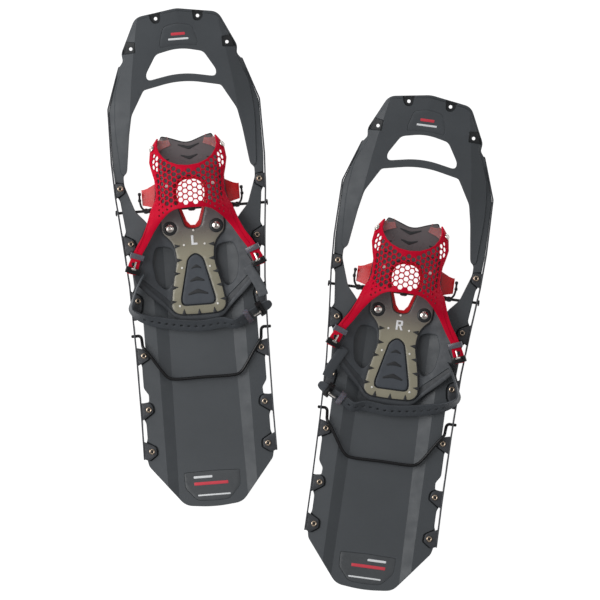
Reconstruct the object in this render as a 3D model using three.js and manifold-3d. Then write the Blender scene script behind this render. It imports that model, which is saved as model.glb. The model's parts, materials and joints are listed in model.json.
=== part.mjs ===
// A pair of mountain snowshoes with moulded decks, laid on the ground side by side with the toes apart.
//
// Each shoe is drawn in its own frame, in millimetres: x to the right, y from the tail at 0 to the toe,
// and z up from the ground that the rail teeth stand on. The left shoe is drawn, and the right shoe is
// its mirror image. "Outer" and "inner" are the sides away from the other shoe and towards it, so the
// left shoe's outer side is at -x. Loops are lists of [x, y, round], where round is how far from the
// corner its rounding starts.
import * as THREE from "three";
import { mergeVertices } from "three/addons/utils/BufferGeometryUtils.js";
import Module from "manifold-3d";

const wasm = await Module();
wasm.setup();

// ---- Driving dimensions -------------------------------------------------------------------------

const GAP = 0.4; // between pieces that touch or run in each other
const WELD = 0.0013; // corners closer than this are one corner
const ROUND_STEP = 7; // a corner's rounding gets a facet for each of these

const TOE_Y = 643;
const ROCKER_START_Y = 430; // the toe curves up from here
const ROCKER_RISE = 60;
const ROCKER_POWER = 1.7;
const TAIL_KICK_Y = 70; // the tail curves up behind here
const TAIL_KICK_RISE = 5;

const DECK_TOP = 28;
const DECK_THICK = 3;
const CHANNEL_DEPTH = 4; // the tail's middle panel lies lower than its sides
const CHANNEL_HALF = [46, 56]; // where the channel's side wall starts and ends
const CHANNEL_END_Y = [338, 352];
const SHOULDER_DROP = 10; // the toe's sides slope down to the rails
const SHOULDER_X = [56, 96];
const SHOULDER_Y = [430, 545];

const RAIL_THICK = 2;
const RAIL_TOP = DECK_TOP + GAP + 2;
const RAIL_BASE = 10; // the blade's lower edge between teeth
const TOOTH_PITCH = 30;
const TAB_THICK = 2;

const AXLE = { y: 386, z: 19, r: 2.5 };
const SLEEVE = { r: 4.3, start: 41, end: 62 };

const CRAMPON_THICK = 2.5;
const CRAMPON_TOP = 28.5;
const CRAMPON_TIP = 1.5; // the points stop just above the ground
const CRAMPON_HALF = 40;
const CRAMPON_Y = [356, 440];
const WING_HALF = 63;
const WING_Y = [393.5, 413.5];

const HARNESS_BOTTOM = CRAMPON_TOP + GAP;
const HARNESS_THICK = 2.4;
const HARNESS_TOP = HARNESS_BOTTOM + HARNESS_THICK;
const WING_LIFT = 13; // the harness's sides rise by this at their edges
const WING_LIFT_X = [40, 84];

const FOOTBED_BOTTOM = HARNESS_TOP + GAP;
const FOOTBED_THICK = 2.4;
const FOOTBED_TOP = FOOTBED_BOTTOM + FOOTBED_THICK;
const PIVOT_RIVET = { x: 30, y: 361, shank: 3, head: 5.5 };

const STRAP_THICK = 2.2;
const ANCHOR_THICK = 1.6;
const ARCH = { crown: 82, fall: 30, power: 1.5, backY: 387, frontY: 441, sideY: 477 };
const ARCH_BASE = { back: 49, front: 38 }; // the height that the arch's two sides come down to
const ARCH_SWEEP = { back: 58, front: 84 }; // how steeply they come down, in degrees
const ARCH_TURN_Y = [442, 468]; // the sides change from the one to the other here
const STRAP_WIDTH = 14;
const SNAP = { across: 0.9, ahead: 0.93 };

const HEEL_STRAP_WIDTH = 16;
const BAIL = { r: 2.3, y: 226, z: 23.5 };

// Where each shoe's own origin stands, and how far it turns about z, for the pair as laid out.
const LEFT_PLACE = { x: -110.74, y: -265.33, turn: 4.4 };
const RIGHT_PLACE = { x: 81.56, y: -373.18, turn: -7.7 };

// ---- Shape helpers ------------------------------------------------------------------------------

const X_AXIS = new THREE.Vector3(1, 0, 0);
const Y_AXIS = new THREE.Vector3(0, 1, 0);
const Z_AXIS = new THREE.Vector3(0, 0, 1);
const vec = (x, y, z = 0) => new THREE.Vector3(x, y, z);
const smooth = THREE.MathUtils.smoothstep;
const ramp = (value, [from, to]) => THREE.MathUtils.clamp((value - from) / (to - from), 0, 1);
const mirrorList = (list) => [...list.map((x) => -x).reverse(), ...list];
const radians = THREE.MathUtils.degToRad;

// A closed loop of straight sides whose corners are rounded from `round` before to `round` after.
function tracePath(path, points) {
  const corners = points.map(([x, y, round = 0]) => ({ at: new THREE.Vector2(x, y), round }));
  const n = corners.length;
  const towards = (from, to, reach) =>
    from.clone().add(to.clone().sub(from).setLength(Math.min(reach, from.distanceTo(to) / 2)));
  corners.forEach(({ at, round }, i) => {
    const before = corners[(i + n - 1) % n].at;
    const after = corners[(i + 1) % n].at;
    const start = round ? towards(at, before, round) : at;
    if (i === 0) path.moveTo(start.x, start.y);
    else path.lineTo(start.x, start.y);
    if (!round) return;
    const corner = new THREE.QuadraticBezierCurve(start, at, towards(at, after, round));
    const steps = Math.ceil(round / ROUND_STEP);
    corner.getPoints(steps).slice(1).forEach((point) => path.lineTo(point.x, point.y));
  });
  path.closePath();
  return path;
}

// A loop that is its own mirror image, from its right half, which is listed from bottom to top.
const bothHalves = (half) => [
  ...half,
  ...half
    .filter(([x]) => x > 0)
    .reverse()
    .map(([x, y, round]) => [-x, y, round]),
];

const ring = (x, y, r, sides) =>
  Array.from({ length: sides }, (_, i) => {
    const angle = (2 * Math.PI * i) / sides;
    return [x + r * Math.cos(angle), y + r * Math.sin(angle)];
  });
const circlePath = (x, y, r, sides = 8) => tracePath(new THREE.Path(), ring(x, y, r, sides));

// A flat plate of that outline and those holes, between two heights.
function plate(points, bottom, top, holes = []) {
  const shape = tracePath(new THREE.Shape(), points);
  shape.holes = holes;
  const solid = new THREE.ExtrudeGeometry(shape, { depth: top - bottom, bevelEnabled: false });
  return solid.translate(0, 0, bottom);
}

// A plate that stands on edge across x, drawn as a [y, z] outline, from x to x + thick.
function standingPlate(points, x, thick, holes = []) {
  const geometry = plate(points, 0, thick, holes);
  const swap = new THREE.Matrix4().makeBasis(Y_AXIS, Z_AXIS, X_AXIS);
  return geometry.applyMatrix4(swap).translate(x, 0, 0);
}

const block = (x0, x1, y0, y1, z0, z1) =>
  new THREE.BoxGeometry(x1 - x0, y1 - y0, z1 - z0).translate(
    (x0 + x1) / 2,
    (y0 + y1) / 2,
    (z0 + z1) / 2,
  );

// A cylinder between two points.
function rod(from, to, r, sides = 8) {
  const along = to.clone().sub(from);
  const turn = new THREE.Quaternion().setFromUnitVectors(Y_AXIS, along.clone().normalize());
  return new THREE.CylinderGeometry(r, r, along.length(), sides)
    .applyQuaternion(turn)
    .translate(...from.clone().add(to).multiplyScalar(0.5));
}

// The same faces with their shared corners merged and nothing else kept.
function weld(geometry) {
  const bare = new THREE.BufferGeometry().setAttribute("position", geometry.getAttribute("position"));
  if (geometry.index) bare.setIndex(geometry.index);
  return mergeVertices(bare, WELD);
}

// Shapes straight from a three.js class have normals and aren't welded yet.
function toSolid(geometry) {
  const welded = geometry.getAttribute("normal") ? weld(geometry) : geometry;
  return new wasm.Manifold(
    new wasm.Mesh({
      numProp: 3,
      vertProperties: welded.attributes.position.array,
      triVerts: new Uint32Array(welded.index.array),
    }),
  );
}

function fromSolid(solid) {
  const { vertProperties, triVerts } = solid.getMesh();
  return new THREE.BufferGeometry()
    .setAttribute("position", new THREE.BufferAttribute(vertProperties, 3))
    .setIndex(new THREE.BufferAttribute(triVerts, 1));
}

const join = (...geometries) =>
  fromSolid(geometries.map(toSolid).reduce((whole, piece) => whole.add(piece)));
const cut = (geometry, ...tools) =>
  fromSolid(tools.map(toSolid).reduce((whole, tool) => whole.subtract(tool), toSolid(geometry)));

const common = (a, b) => fromSolid(toSolid(a).intersect(toSolid(b)));

// A sheet of that outline and those holes, between bottomAt(x, y) and topAt(x, y), which bend only
// where x or y is one of the stations.
function drape(points, holes, [xs, ys], bottomAt, topAt) {
  const grid = new THREE.BoxGeometry(1, 1, 1, xs.length - 1, ys.length - 1, 1);
  const slab = moved(grid, ({ x, y, z }) => {
    const atX = xs[Math.round((x + 0.5) * (xs.length - 1))];
    const atY = ys[Math.round((y + 0.5) * (ys.length - 1))];
    return vec(atX, atY, (z > 0 ? topAt : bottomAt)(atX, atY));
  });
  return common(plate(points, -50, 200, holes), slab);
}

function moved(geometry, move) {
  const at = geometry.getAttribute("position");
  const point = new THREE.Vector3();
  for (let i = 0; i < at.count; i++) {
    point.fromBufferAttribute(at, i);
    at.setXYZ(i, ...move(point.clone()));
  }
  return geometry;
}

// A flat strap along a curve: widthAt(t) is the direction of its width at t along the curve.
function strap(curve, width, thick, steps, widthAt) {
  const box = new THREE.BoxGeometry(1, width, thick, steps, 1, 1);
  return moved(box, ({ x, y, z }) => {
    const t = THREE.MathUtils.clamp(x + 0.5, 0, 1);
    const tangent = curve.getTangentAt(t);
    const across = widthAt(t).addScaledVector(tangent, -widthAt(t).dot(tangent)).normalize();
    const normal = tangent.clone().cross(across);
    return curve.getPointAt(t).addScaledVector(across, y).addScaledVector(normal, z);
  });
}

// A round wire along a curve.
function wire(curve, r, steps, sides = 6) {
  const section = tracePath(new THREE.Shape(), ring(0, 0, r, sides));
  return new THREE.ExtrudeGeometry(section, { steps, extrudePath: curve, bevelEnabled: false });
}

const COLOURS = {
  deck: [0x45484c, 0.55, 0],
  steel: [0x2a2c2f, 0.45, 0.8],
  red_steel: [0xc8102a, 0.4, 0.3],
  harness: [0x3c4247, 0.6, 0],
  footbed: [0x6f6a66, 0.4, 0],
  pad: [0x3a4046, 0.7, 0],
  strap: [0xc4122c, 0.5, 0],
  bright: [0xcfcac2, 0.25, 1],
  keeper: [0x6c6878, 0.35, 0],
};

function piece(name, geometry, colour) {
  const [color, roughness, metalness] = COLOURS[colour];
  const material = new THREE.MeshStandardMaterial({ color, roughness, metalness });
  const mesh = new THREE.Mesh(geometry, material);
  mesh.name = name;
  return mesh;
}

// ---- Surfaces that several pieces follow --------------------------------------------------------

function rocker(y) {
  const toe = Math.max(0, (y - ROCKER_START_Y) / (TOE_Y - ROCKER_START_Y));
  const tail = Math.max(0, (TAIL_KICK_Y - y) / TAIL_KICK_Y);
  return ROCKER_RISE * toe ** ROCKER_POWER + TAIL_KICK_RISE * tail ** 2;
}

function deckHeight(x, y) {
  const channel = (1 - ramp(Math.abs(x), CHANNEL_HALF)) * (1 - ramp(y, CHANNEL_END_Y));
  const shoulder = ramp(Math.abs(x), SHOULDER_X) * ramp(y, SHOULDER_Y);
  return rocker(y) - CHANNEL_DEPTH * channel - SHOULDER_DROP * shoulder;
}

const TOE_STATIONS = [0, 0.2, 0.4, 0.6, 0.8, 1.01].map((t) =>
  THREE.MathUtils.lerp(ROCKER_START_Y, TOE_Y, t),
);
const DECK_STATIONS = [
  mirrorList([...CHANNEL_HALF, 110]),
  [-5, TAIL_KICK_Y / 2, TAIL_KICK_Y, ...CHANNEL_END_Y, ...TOE_STATIONS],
];

// Half the width over the rails' outer faces, by y: [y, x] from tail to toe.
const RAIL_LINE = [
  [66, 86.5],
  [120, 86],
  [210, 86.5],
  [290, 88.5],
  [350, 93],
  [405, 98],
  [450, 100],
  [520, 99],
  [574, 80.2],
];

function halfAt(line, y) {
  const after = line.findIndex(([at]) => at >= y);
  if (after <= 0) return (after ? line.at(-1) : line[0])[1];
  const [y0, x0] = line[after - 1];
  const [y1, x1] = line[after];
  return THREE.MathUtils.mapLinear(y, y0, y1, x0, x1);
}

const railX = (y) => halfAt(RAIL_LINE, y);

const wingLift = (x) => WING_LIFT * ramp(Math.abs(x), WING_LIFT_X);

// Half the width of the toe strap's arch, by y: [y, x] from back to front.
const ARCH_LINE = [
  [386, 52],
  [397, 46],
  [406, 43.5],
  [425, 44.5],
  [435, 47],
  [447, 49.5],
  [460, 47.5],
  [470, 43],
  [479, 36],
];

// A point on the toe strap's middle surface, which arches over the boot's toes: across goes from -1
// to 1 from side to side, and ahead from 0 at its back edge to 1 at its front edge.
function archPoint(across, ahead) {
  const front = THREE.MathUtils.lerp(ARCH.frontY, ARCH.sideY, across ** 2);
  const y = THREE.MathUtils.lerp(ARCH.backY, front, ahead);
  const turn = smooth(y, ...ARCH_TURN_Y);
  const base = THREE.MathUtils.lerp(ARCH_BASE.back, ARCH_BASE.front, turn);
  const sweep = radians(THREE.MathUtils.lerp(ARCH_SWEEP.back, ARCH_SWEEP.front, turn));
  const forward = Math.max(0, y - ARCH.backY) / (ARCH.sideY - ARCH.backY);
  const rise = ARCH.crown - ARCH.fall * forward ** ARCH.power - base;
  const lean = sweep * across;
  const lift = (Math.cos(lean) - Math.cos(sweep)) / (1 - Math.cos(sweep));
  return vec((halfAt(ARCH_LINE, y) * Math.sin(lean)) / Math.sin(sweep), y, base + rise * lift);
}

function archNormal(across, ahead) {
  const step = 0.01;
  const side = archPoint(across + step, ahead).sub(archPoint(across - step, ahead));
  const front = archPoint(across, ahead + step).sub(archPoint(across, ahead - step));
  return side.cross(front).normalize();
}

// ---- Deck and rails -----------------------------------------------------------------------------

const RIVETS = [
  [75, 76],
  [75, 130],
  [76, 200],
  [78, 271],
  [81.5, 345],
  [90, 417],
];

const HANDLE = bothHalves([
  [0, 560.9, 36],
  [43.7, 552.5, 6],
  [45.7, 560.5, 5],
  [30.5, 585.5, 5],
  [0, 592.3, 26],
]);

const FOOT_OPENING = bothHalves([
  [0, 341],
  [45, 341, 6],
  [59, 371, 5],
  [72.5, 386, 5],
  [84.5, 421, 4],
  [84.5, 433, 3],
  [79.5, 437, 5],
  [73, 485, 6],
  [68, 510, 4],
  [50, 541, 3],
  [0, 551.4, 46],
]);

const DECK_OUTLINE = bothHalves([
  [0, -1, 24],
  [37, 3, 9],
  [80, 57, 3],
  [82, 67],
  [82, 86],
  [79.5, 92, 3],
  [79.5, 113, 3],
  [82, 118],
  [82, 139],
  [74, 140, 2],
  [73.5, 149, 2],
  [79.5, 158, 3],
  [79.5, 188, 3],
  [82.5, 192],
  [82.5, 203],
  [73.5, 208, 2],
  [73.5, 243, 2],
  [84, 248],
  [84.5, 282],
  [81.5, 289, 2],
  [84, 328, 3],
  [88.5, 334],
  [90, 355],
  [87, 361, 2],
  [91.5, 402, 3],
  [95, 407],
  [97.2, 450, 8],
  [96.5, 517, 8],
  [78, 573],
  [73.5, 580, 3],
  [75, 590, 4],
  [53.5, 634.5, 9],
  [0, 642.5, 5],
]);

const HOLE_R = 2.2;

const LASH_HOLES = [
  [27, 631],
  [62, 595],
];

function deck() {
  const [handle, footOpening] = [HANDLE, FOOT_OPENING].map((loop) => tracePath(new THREE.Path(), loop));
  const at = (height) => (x, y) => height + deckHeight(x, y);
  const [under, over] = [DECK_TOP - DECK_THICK, DECK_TOP].map(at);
  const sheet = drape(DECK_OUTLINE, [handle, footOpening], DECK_STATIONS, under, over);
  const drills = [...LASH_HOLES, ...RIVETS].flatMap(([x, y]) =>
    [-x, x].map((side) => rod(vec(side, y, 0), vec(side, y, 120), HOLE_R, 6)),
  );
  return cut(join(sheet, ...brakeBars()), ...drills);
}

// Moulded bars under the tail, that bite in the snow across the shoe.
function brakeBars() {
  const top = DECK_TOP - DECK_THICK - CHANNEL_DEPTH + 1;
  const bar = (y) => {
    const teeth = [-36, -12, 12, 36].flatMap((x) => [
      [x - 9, 12],
      [x - 3, 6],
      [x + 3, 6],
      [x + 9, 12],
    ]);
    const face = plate([[-44, top], ...teeth, [44, top]], 0, 3);
    const stand = new THREE.Matrix4().makeBasis(X_AXIS, Z_AXIS, Y_AXIS.clone().negate());
    return face.applyMatrix4(stand).translate(0, y, 0);
  };
  return [100, 150, 290].map(bar);
}

// The tabs that fold in from the rail over the deck, on the right side: where each leaves the blade,
// the loop of its free edge, and where it joins the blade again.
const TABS = [
  { from: 90, edge: [[70, 82, 2], [69, 78, 2], [69, 71, 2], [79, 64, 2]], to: 67 },
  { from: 139.5, edge: [[72, 138.5, 3], [69.5, 133, 2], [69.5, 126, 2]], to: 116 },
  { from: 211, edge: [[77, 209, 2], [71, 202, 3], [70, 195, 2]], to: 187 },
  { from: 285, edge: [[75, 277, 2], [73, 270, 2], [74.5, 259, 2], [82, 246]], to: 246 },
  { from: 357, edge: [[78, 350, 3], [75.5, 343, 2], [77.5, 336, 2]], to: 329 },
  { from: 424, edge: [[86.5, 424, 2], [84.8, 418, 3], [85.5, 411, 2]], to: 404 },
];

function tab({ from, edge, to }) {
  const root = (y) => [railX(y) - RAIL_THICK / 2, y];
  return plate([root(from), ...edge, root(to)], RAIL_TOP - TAB_THICK, RAIL_TOP);
}

function rail() {
  const [front, back] = [RAIL_LINE.at(-1)[0], RAIL_LINE[0][0]];
  const lifted = ([y, z]) => [y, z + (z > RAIL_BASE + 4 ? deckHeight(railX(y), y) : rocker(y))];
  const teeth = [];
  for (let y = back + 10; y + TOOTH_PITCH < front; y += TOOTH_PITCH) {
    teeth.push([y, RAIL_BASE], [y + 6, 0], [y + 12, 0], [y + 18, RAIL_BASE]);
  }
  const toeEdge = TOE_STATIONS.filter((y) => y < front - 10).map((y) => [y, RAIL_TOP - 2]);
  const profile = [
    [back, RAIL_TOP - 4],
    [back + 4, RAIL_BASE],
    ...teeth,
    [front - 4, RAIL_BASE + 4],
    [front, RAIL_TOP - 8],
    ...toeEdge.reverse(),
    [ROCKER_START_Y - 8, RAIL_TOP],
    [back + 4, RAIL_TOP],
  ].map(lifted);
  const drill = (at) => circlePath(at.y, at.z, at.r + GAP);
  const side = standingPlate(profile, 60, 60, [drill(AXLE), drill(BAIL)]);
  const outside = RAIL_LINE.map(([y, x]) => [x, y]);
  const inside = RAIL_LINE.map(([y, x]) => [x - RAIL_THICK, y]).reverse();
  const blade = common(side, plate([...outside, ...inside], -10, 120));
  return join(blade, ...TABS.map(tab), ...RIVETS.map(deckRivet));
}

// A rivet, clenched in its tab, whose shank goes down through the deck.
function deckRivet([x, y]) {
  const under = DECK_TOP - DECK_THICK - 1;
  const shank = rod(vec(x, y, under), vec(x, y, RAIL_TOP), HOLE_R - GAP, 6);
  return join(shank, rod(vec(x, y, RAIL_TOP - 1), vec(x, y, RAIL_TOP + 1.4), 3.5, 6));
}

const mirrored = (geometry) => {
  const solid = toSolid(geometry);
  return fromSolid(solid.mirror([1, 0, 0]));
};

// ---- Binding ------------------------------------------------------------------------------------

// The window over the pivot: an arch in front of the axle and a notch behind it.
const keyhole = (grow) =>
  bothHalves([
    [0, 361 - grow, 3],
    [8 + grow, 363 - grow, 5],
    [15.5 + grow, 387],
    [20 + grow, 398, 6],
    [20 + grow, 414, 8],
    [13 + grow, 424 + grow, 8],
    [0, 426 + grow, 6],
  ]);

function crampon() {
  const outline = bothHalves([
    [0, CRAMPON_Y[0]],
    [CRAMPON_HALF, CRAMPON_Y[0], 4],
    [CRAMPON_HALF, 386, 3],
    [WING_HALF - 12, WING_Y[0] - 3, 5],
    [WING_HALF, WING_Y[0]],
    [WING_HALF, WING_Y[1]],
    [WING_HALF - 5.5, WING_Y[1], 3],
    [WING_HALF - 14, WING_Y[1] + 5, 5],
    [CRAMPON_HALF, WING_Y[1] + 8.5, 3],
    [CRAMPON_HALF, CRAMPON_Y[1], 4],
    [0, CRAMPON_Y[1]],
  ]);
  const bottom = CRAMPON_TOP - CRAMPON_THICK;
  const sheet = plate(outline, bottom, CRAMPON_TOP, [tracePath(new THREE.Path(), keyhole(-2))]);
  const root = bottom + 1;

  const saw = (from, to, count, height) => {
    const step = (to - from) / count;
    return Array.from({ length: count }, (_, i) => from + i * step).flatMap((at) => [
      [at + 0.5, height],
      [at + step / 2 - 1.5, CRAMPON_TIP],
      [at + step / 2 + 1.5, CRAMPON_TIP],
      [at + step - 0.5, height],
    ]);
  };
  const cheek = (x) =>
    standingPlate(
      [[CRAMPON_Y[0] + 2, root], ...saw(CRAMPON_Y[0] + 2, CRAMPON_Y[1], 4, 12), [CRAMPON_Y[1], root]],
      x,
      CRAMPON_THICK,
      [circlePath(AXLE.y, AXLE.z, AXLE.r + GAP)],
    );
  const wingTip = (x) =>
    standingPlate([[WING_Y[0], root], ...saw(...WING_Y, 2, 10), [WING_Y[1], root]], x, CRAMPON_THICK);
  const comb = (y, from, to, count) => {
    const face = plate([[from, root], ...saw(from, to, count, 13), [to, root]], 0, CRAMPON_THICK);
    const stand = new THREE.Matrix4().makeBasis(X_AXIS, Z_AXIS, Y_AXIS.clone().negate());
    return face.applyMatrix4(stand).translate(0, y, 0);
  };
  const rivets = [-1, 1].map((side) =>
    rod(
      vec(side * PIVOT_RIVET.x, PIVOT_RIVET.y, 0),
      vec(side * PIVOT_RIVET.x, PIVOT_RIVET.y, 60),
      PIVOT_RIVET.shank + GAP,
      10,
    ),
  );
  return cut(
    join(
      sheet,
      cheek(CRAMPON_HALF - CRAMPON_THICK),
      cheek(-CRAMPON_HALF),
      wingTip(WING_HALF - CRAMPON_THICK),
      wingTip(-WING_HALF),
      comb(CRAMPON_Y[1], -34, 34, 4),
    ),
    ...rivets,
  );
}

function sleeve() {
  const inner = AXLE.r + GAP;
  const ring = new THREE.LatheGeometry(
    [
      new THREE.Vector2(inner, SLEEVE.start),
      new THREE.Vector2(SLEEVE.r, SLEEVE.start),
      new THREE.Vector2(SLEEVE.r, SLEEVE.end),
      new THREE.Vector2(inner, SLEEVE.end),
      new THREE.Vector2(inner, SLEEVE.start),
    ],
    12,
  );
  return ring.rotateZ(-Math.PI / 2).translate(0, AXLE.y, AXLE.z);
}

function axle() {
  const reach = railX(AXLE.y) + GAP;
  const along = (x) => vec(x, AXLE.y, AXLE.z);
  return join(
    rod(along(-reach - 1), along(reach + 1), AXLE.r),
    rod(along(reach), along(reach + 2), AXLE.r + 1.8),
    rod(along(-reach - 2), along(-reach), AXLE.r + 1.8),
  );
}

// The black bumper that hooks from the sleeve round the tip of a crampon wing.
function bumper() {
  const curve = new THREE.CatmullRomCurve3([
    vec(WING_HALF - 8, AXLE.y - 0.5, AXLE.z + SLEEVE.r + GAP + 1.8),
    vec(WING_HALF, AXLE.y + 0.5, AXLE.z + SLEEVE.r + GAP + 2),
    vec(WING_HALF + 3.5, AXLE.y + 5, 26),
    vec(WING_HALF + 3.8, AXLE.y + 12, 29),
    vec(WING_HALF + 3.2, AXLE.y + 23, 33),
  ]);
  return wire(curve, 1.7, 10);
}

const LEAF_WINDOW = [
  [44, 354, 5],
  [30, 340, 4],
  [25.5, 320, 8],
  [28, 300, 6],
  [33, 282, 4],
  [47, 276, 6],
  [57, 292, 8],
  [58, 322, 8],
  [53, 347, 5],
];

function harness() {
  const outline = bothHalves([
    [0, 239, 16],
    [30, 243, 8],
    [44, 259, 6],
    [62, 275, 8],
    [78, 292, 6],
    [83.5, 312, 8],
    [80, 328, 6],
    [72, 346, 8],
    [60, 368, 8],
    [50, 386, 8],
    [46, 404, 6],
    [44.5, 436, 4],
    [0, 438],
  ]);
  const mirrorLoop = (loop) => loop.map(([x, y, round]) => [-x, y, round]);
  const windows = [LEAF_WINDOW, mirrorLoop(LEAF_WINDOW), keyhole(1)].map((loop) =>
    tracePath(new THREE.Path(), loop),
  );
  const drills = [-1, 1].map((side) =>
    circlePath(side * PIVOT_RIVET.x, PIVOT_RIVET.y, PIVOT_RIVET.shank + GAP),
  );
  const stations = [mirrorList([...WING_LIFT_X, 90]), [230, 450]];
  return drape(
    outline,
    [...windows, ...drills],
    stations,
    (x) => HARNESS_BOTTOM + wingLift(x),
    (x) => HARNESS_TOP + wingLift(x),
  );
}

const HEEL_WINDOW = bothHalves([
  [0, 260, 6],
  [20, 260, 6],
  [21, 266, 4],
  [7, 320, 5],
  [0, 327, 5],
]);

function footbed() {
  const outline = bothHalves([
    [0, 247.5, 10],
    [26, 248.5, 8],
    [35, 256, 7],
    [31, 285, 8],
    [23, 320, 12],
    [30, 344, 6],
    [40.5, 353, 7],
    [41, 370, 6],
    [38, 384, 6],
    [38, 452, 6],
    [39.5, 464, 3],
    [33, 481, 3],
    [23, 478.5, 4],
    [0, 470, 9],
  ]);
  const drills = [-1, 1].map((side) =>
    circlePath(side * PIVOT_RIVET.x, PIVOT_RIVET.y, PIVOT_RIVET.shank + GAP),
  );
  const windows = [keyhole(0), HEEL_WINDOW].map((loop) => tracePath(new THREE.Path(), loop));
  const sheet = plate(outline, FOOTBED_BOTTOM, FOOTBED_TOP, [...windows, ...drills]);
  const anchor = toeAnchor();
  return join(sheet, anchor, mirrored(anchor));
}

function heelPad() {
  const inset = HEEL_WINDOW.map(([x, y, round]) => [x * 0.96, 293 + (y - 293) * 0.985, round]);
  const slab = plate(inset, FOOTBED_BOTTOM, FOOTBED_TOP + 1.4);
  const rib = (y, half) =>
    plate(
      [[0, y + 5], [-half, y - 3], [-half, y - 6], [0, y], [half, y - 6], [half, y - 3]],
      FOOTBED_TOP + 1,
      FOOTBED_TOP + 3,
    );
  return join(slab, rib(308, 7), rib(290, 11), rib(271, 15));
}

function pivotRivet() {
  const { shank, head, x, y } = PIVOT_RIVET;
  const under = CRAMPON_TOP - CRAMPON_THICK - GAP;
  const over = FOOTBED_TOP + GAP;
  const profile = [
    [0, under - 2],
    [head - 1, under - 2],
    [head, under],
    [shank, under],
    [shank, over],
    [head, over],
    [head - 0.6, over + 1.6],
    [head - 2.5, over + 2.4],
    [0, over + 2.4],
  ].map(([r, z]) => new THREE.Vector2(r, z));
  return new THREE.LatheGeometry(profile, 10).rotateX(Math.PI / 2).translate(x, y, 0);
}

// ---- Straps, buckles and keepers ----------------------------------------------------------------

// A buckle's own frame: u along the strap to its tail, v across it and w up from it.
function buckleFrame(at, u, roughlyUp) {
  const along = u.clone().normalize();
  const across = roughlyUp.clone().cross(along).normalize();
  const up = along.clone().cross(across);
  const place = new THREE.Matrix4().makeBasis(along, across, up).setPosition(at);
  return { at, along, across, up, place };
}

// The instep straps' buckles and the heel strap's buckle. The inner instep buckle mirrors the outer.
const INSTEP = buckleFrame(vec(-81.5, 310.5, 50.4), vec(-0.36, -0.93, -0.06), vec(0.16, 0, 0.99));
const HEEL = buckleFrame(vec(79, 249.5, 43), vec(0.89, 0.45, 0.02), vec(0.31, -0.61, 0.715));

const LOOP = { long: 8, wall: 1.5 };
const PRONG = { u: -2.4, w: 4.9, r: 1.3, reach: 9 };
const KEEPER = { u: -19, long: 7 };

function buckle(half) {
  const { long, wall } = LOOP;
  const wide = half + 1 + wall;
  const inside = STRAP_THICK / 2 + GAP + 0.2;
  const high = inside + wall;
  const tube = cut(
    block(-long / 2, long / 2, -wide, wide, -high, high),
    block(-long, long, -wide + wall, wide - wall, -inside, inside),
  );
  const stub = 0.6;
  const ear = (v) =>
    cut(
      block(-long / 2, 0, v - 0.7, v + 0.7, high - 0.5, PRONG.w + 1.7),
      rod(vec(PRONG.u, v - 2, PRONG.w), vec(PRONG.u, v + 2, PRONG.w), stub + GAP, 8),
    );
  return join(tube, ear(4.2), ear(-4.2));
}

function prong() {
  const { u, w, r, reach } = PRONG;
  return join(
    rod(vec(u, -3.1, w), vec(u, 3.1, w), r, 6),
    rod(vec(u, -4.7, w), vec(u, 4.7, w), 0.6, 6),
    block(u - reach, u, -1, 1, w - 0.7, w + 0.7),
    block(u - reach - 1, u - reach + 1, -1, 1, STRAP_THICK / 2 - 1.4, w + 0.7),
  );
}

function keeper(half) {
  const inside = STRAP_THICK / 2 + GAP;
  const wall = 1.6;
  const wide = half + GAP;
  const { u, long } = KEEPER;
  return cut(
    block(u - long / 2, u + long / 2, -wide - wall, wide + wall, -inside - wall, inside + wall),
    block(u - long, u + long, -wide, wide, -inside, inside),
  );
}

// The hole in a strap that the prong's tip drops into.
const prongHole = ({ place }) =>
  rod(vec(PRONG.u - PRONG.reach, 0, -6), vec(PRONG.u - PRONG.reach, 0, 6), 2.1, 10).applyMatrix4(place);

function along({ at, along: u }, distance) {
  return at.clone().addScaledVector(u, distance);
}

function instepLeg() {
  const curve = new THREE.CatmullRomCurve3([
    vec(-43, 394, 58),
    vec(-53, 373, 54),
    vec(-62.5, 355, 52.5),
    ...[-28, -17, -6, 3, 11].map((distance) => along(INSTEP, distance)),
  ]);
  const start = vec(-0.75, 0.3, -0.6);
  return strap(curve, STRAP_WIDTH, STRAP_THICK, 12, (t) =>
    start.clone().lerp(INSTEP.across.clone().negate(), smooth(t, 0.1, 0.45)),
  );
}

// The snap's axis and seat, on the right side of the toe strap.
const SNAP_AXIS = archNormal(SNAP.across, SNAP.ahead);
const SNAP_SEAT = archPoint(SNAP.across, SNAP.ahead);
const SNAP_SHANK = 1.6;
const SNAP_DEPTH = STRAP_THICK / 2 + 2.5 + ANCHOR_THICK / 2; // from the strap to the anchor

const snapRod = (from, to, r, sides) =>
  rod(
    SNAP_SEAT.clone().addScaledVector(SNAP_AXIS, from),
    SNAP_SEAT.clone().addScaledVector(SNAP_AXIS, to),
    r,
    sides,
  );

function toeStrap() {
  const grid = new THREE.BoxGeometry(2, 1, STRAP_THICK, 12, 5, 1);
  const panel = moved(grid, ({ x, y, z }) =>
    archPoint(x, y + 0.5).addScaledVector(archNormal(x, y + 0.5), z),
  );
  const hole = snapRod(-3, 3, SNAP_SHANK + GAP, 6);
  const outer = cut(instepLeg(), prongHole(INSTEP));
  return join(cut(panel, hole, mirrored(hole)), outer, mirrored(outer));
}

function toeSnap() {
  const over = STRAP_THICK / 2 + GAP;
  const under = -SNAP_DEPTH - ANCHOR_THICK / 2;
  return join(snapRod(under, over + 1.5, SNAP_SHANK, 6), snapRod(over, over + 2, 4.4, 8));
}

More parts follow.
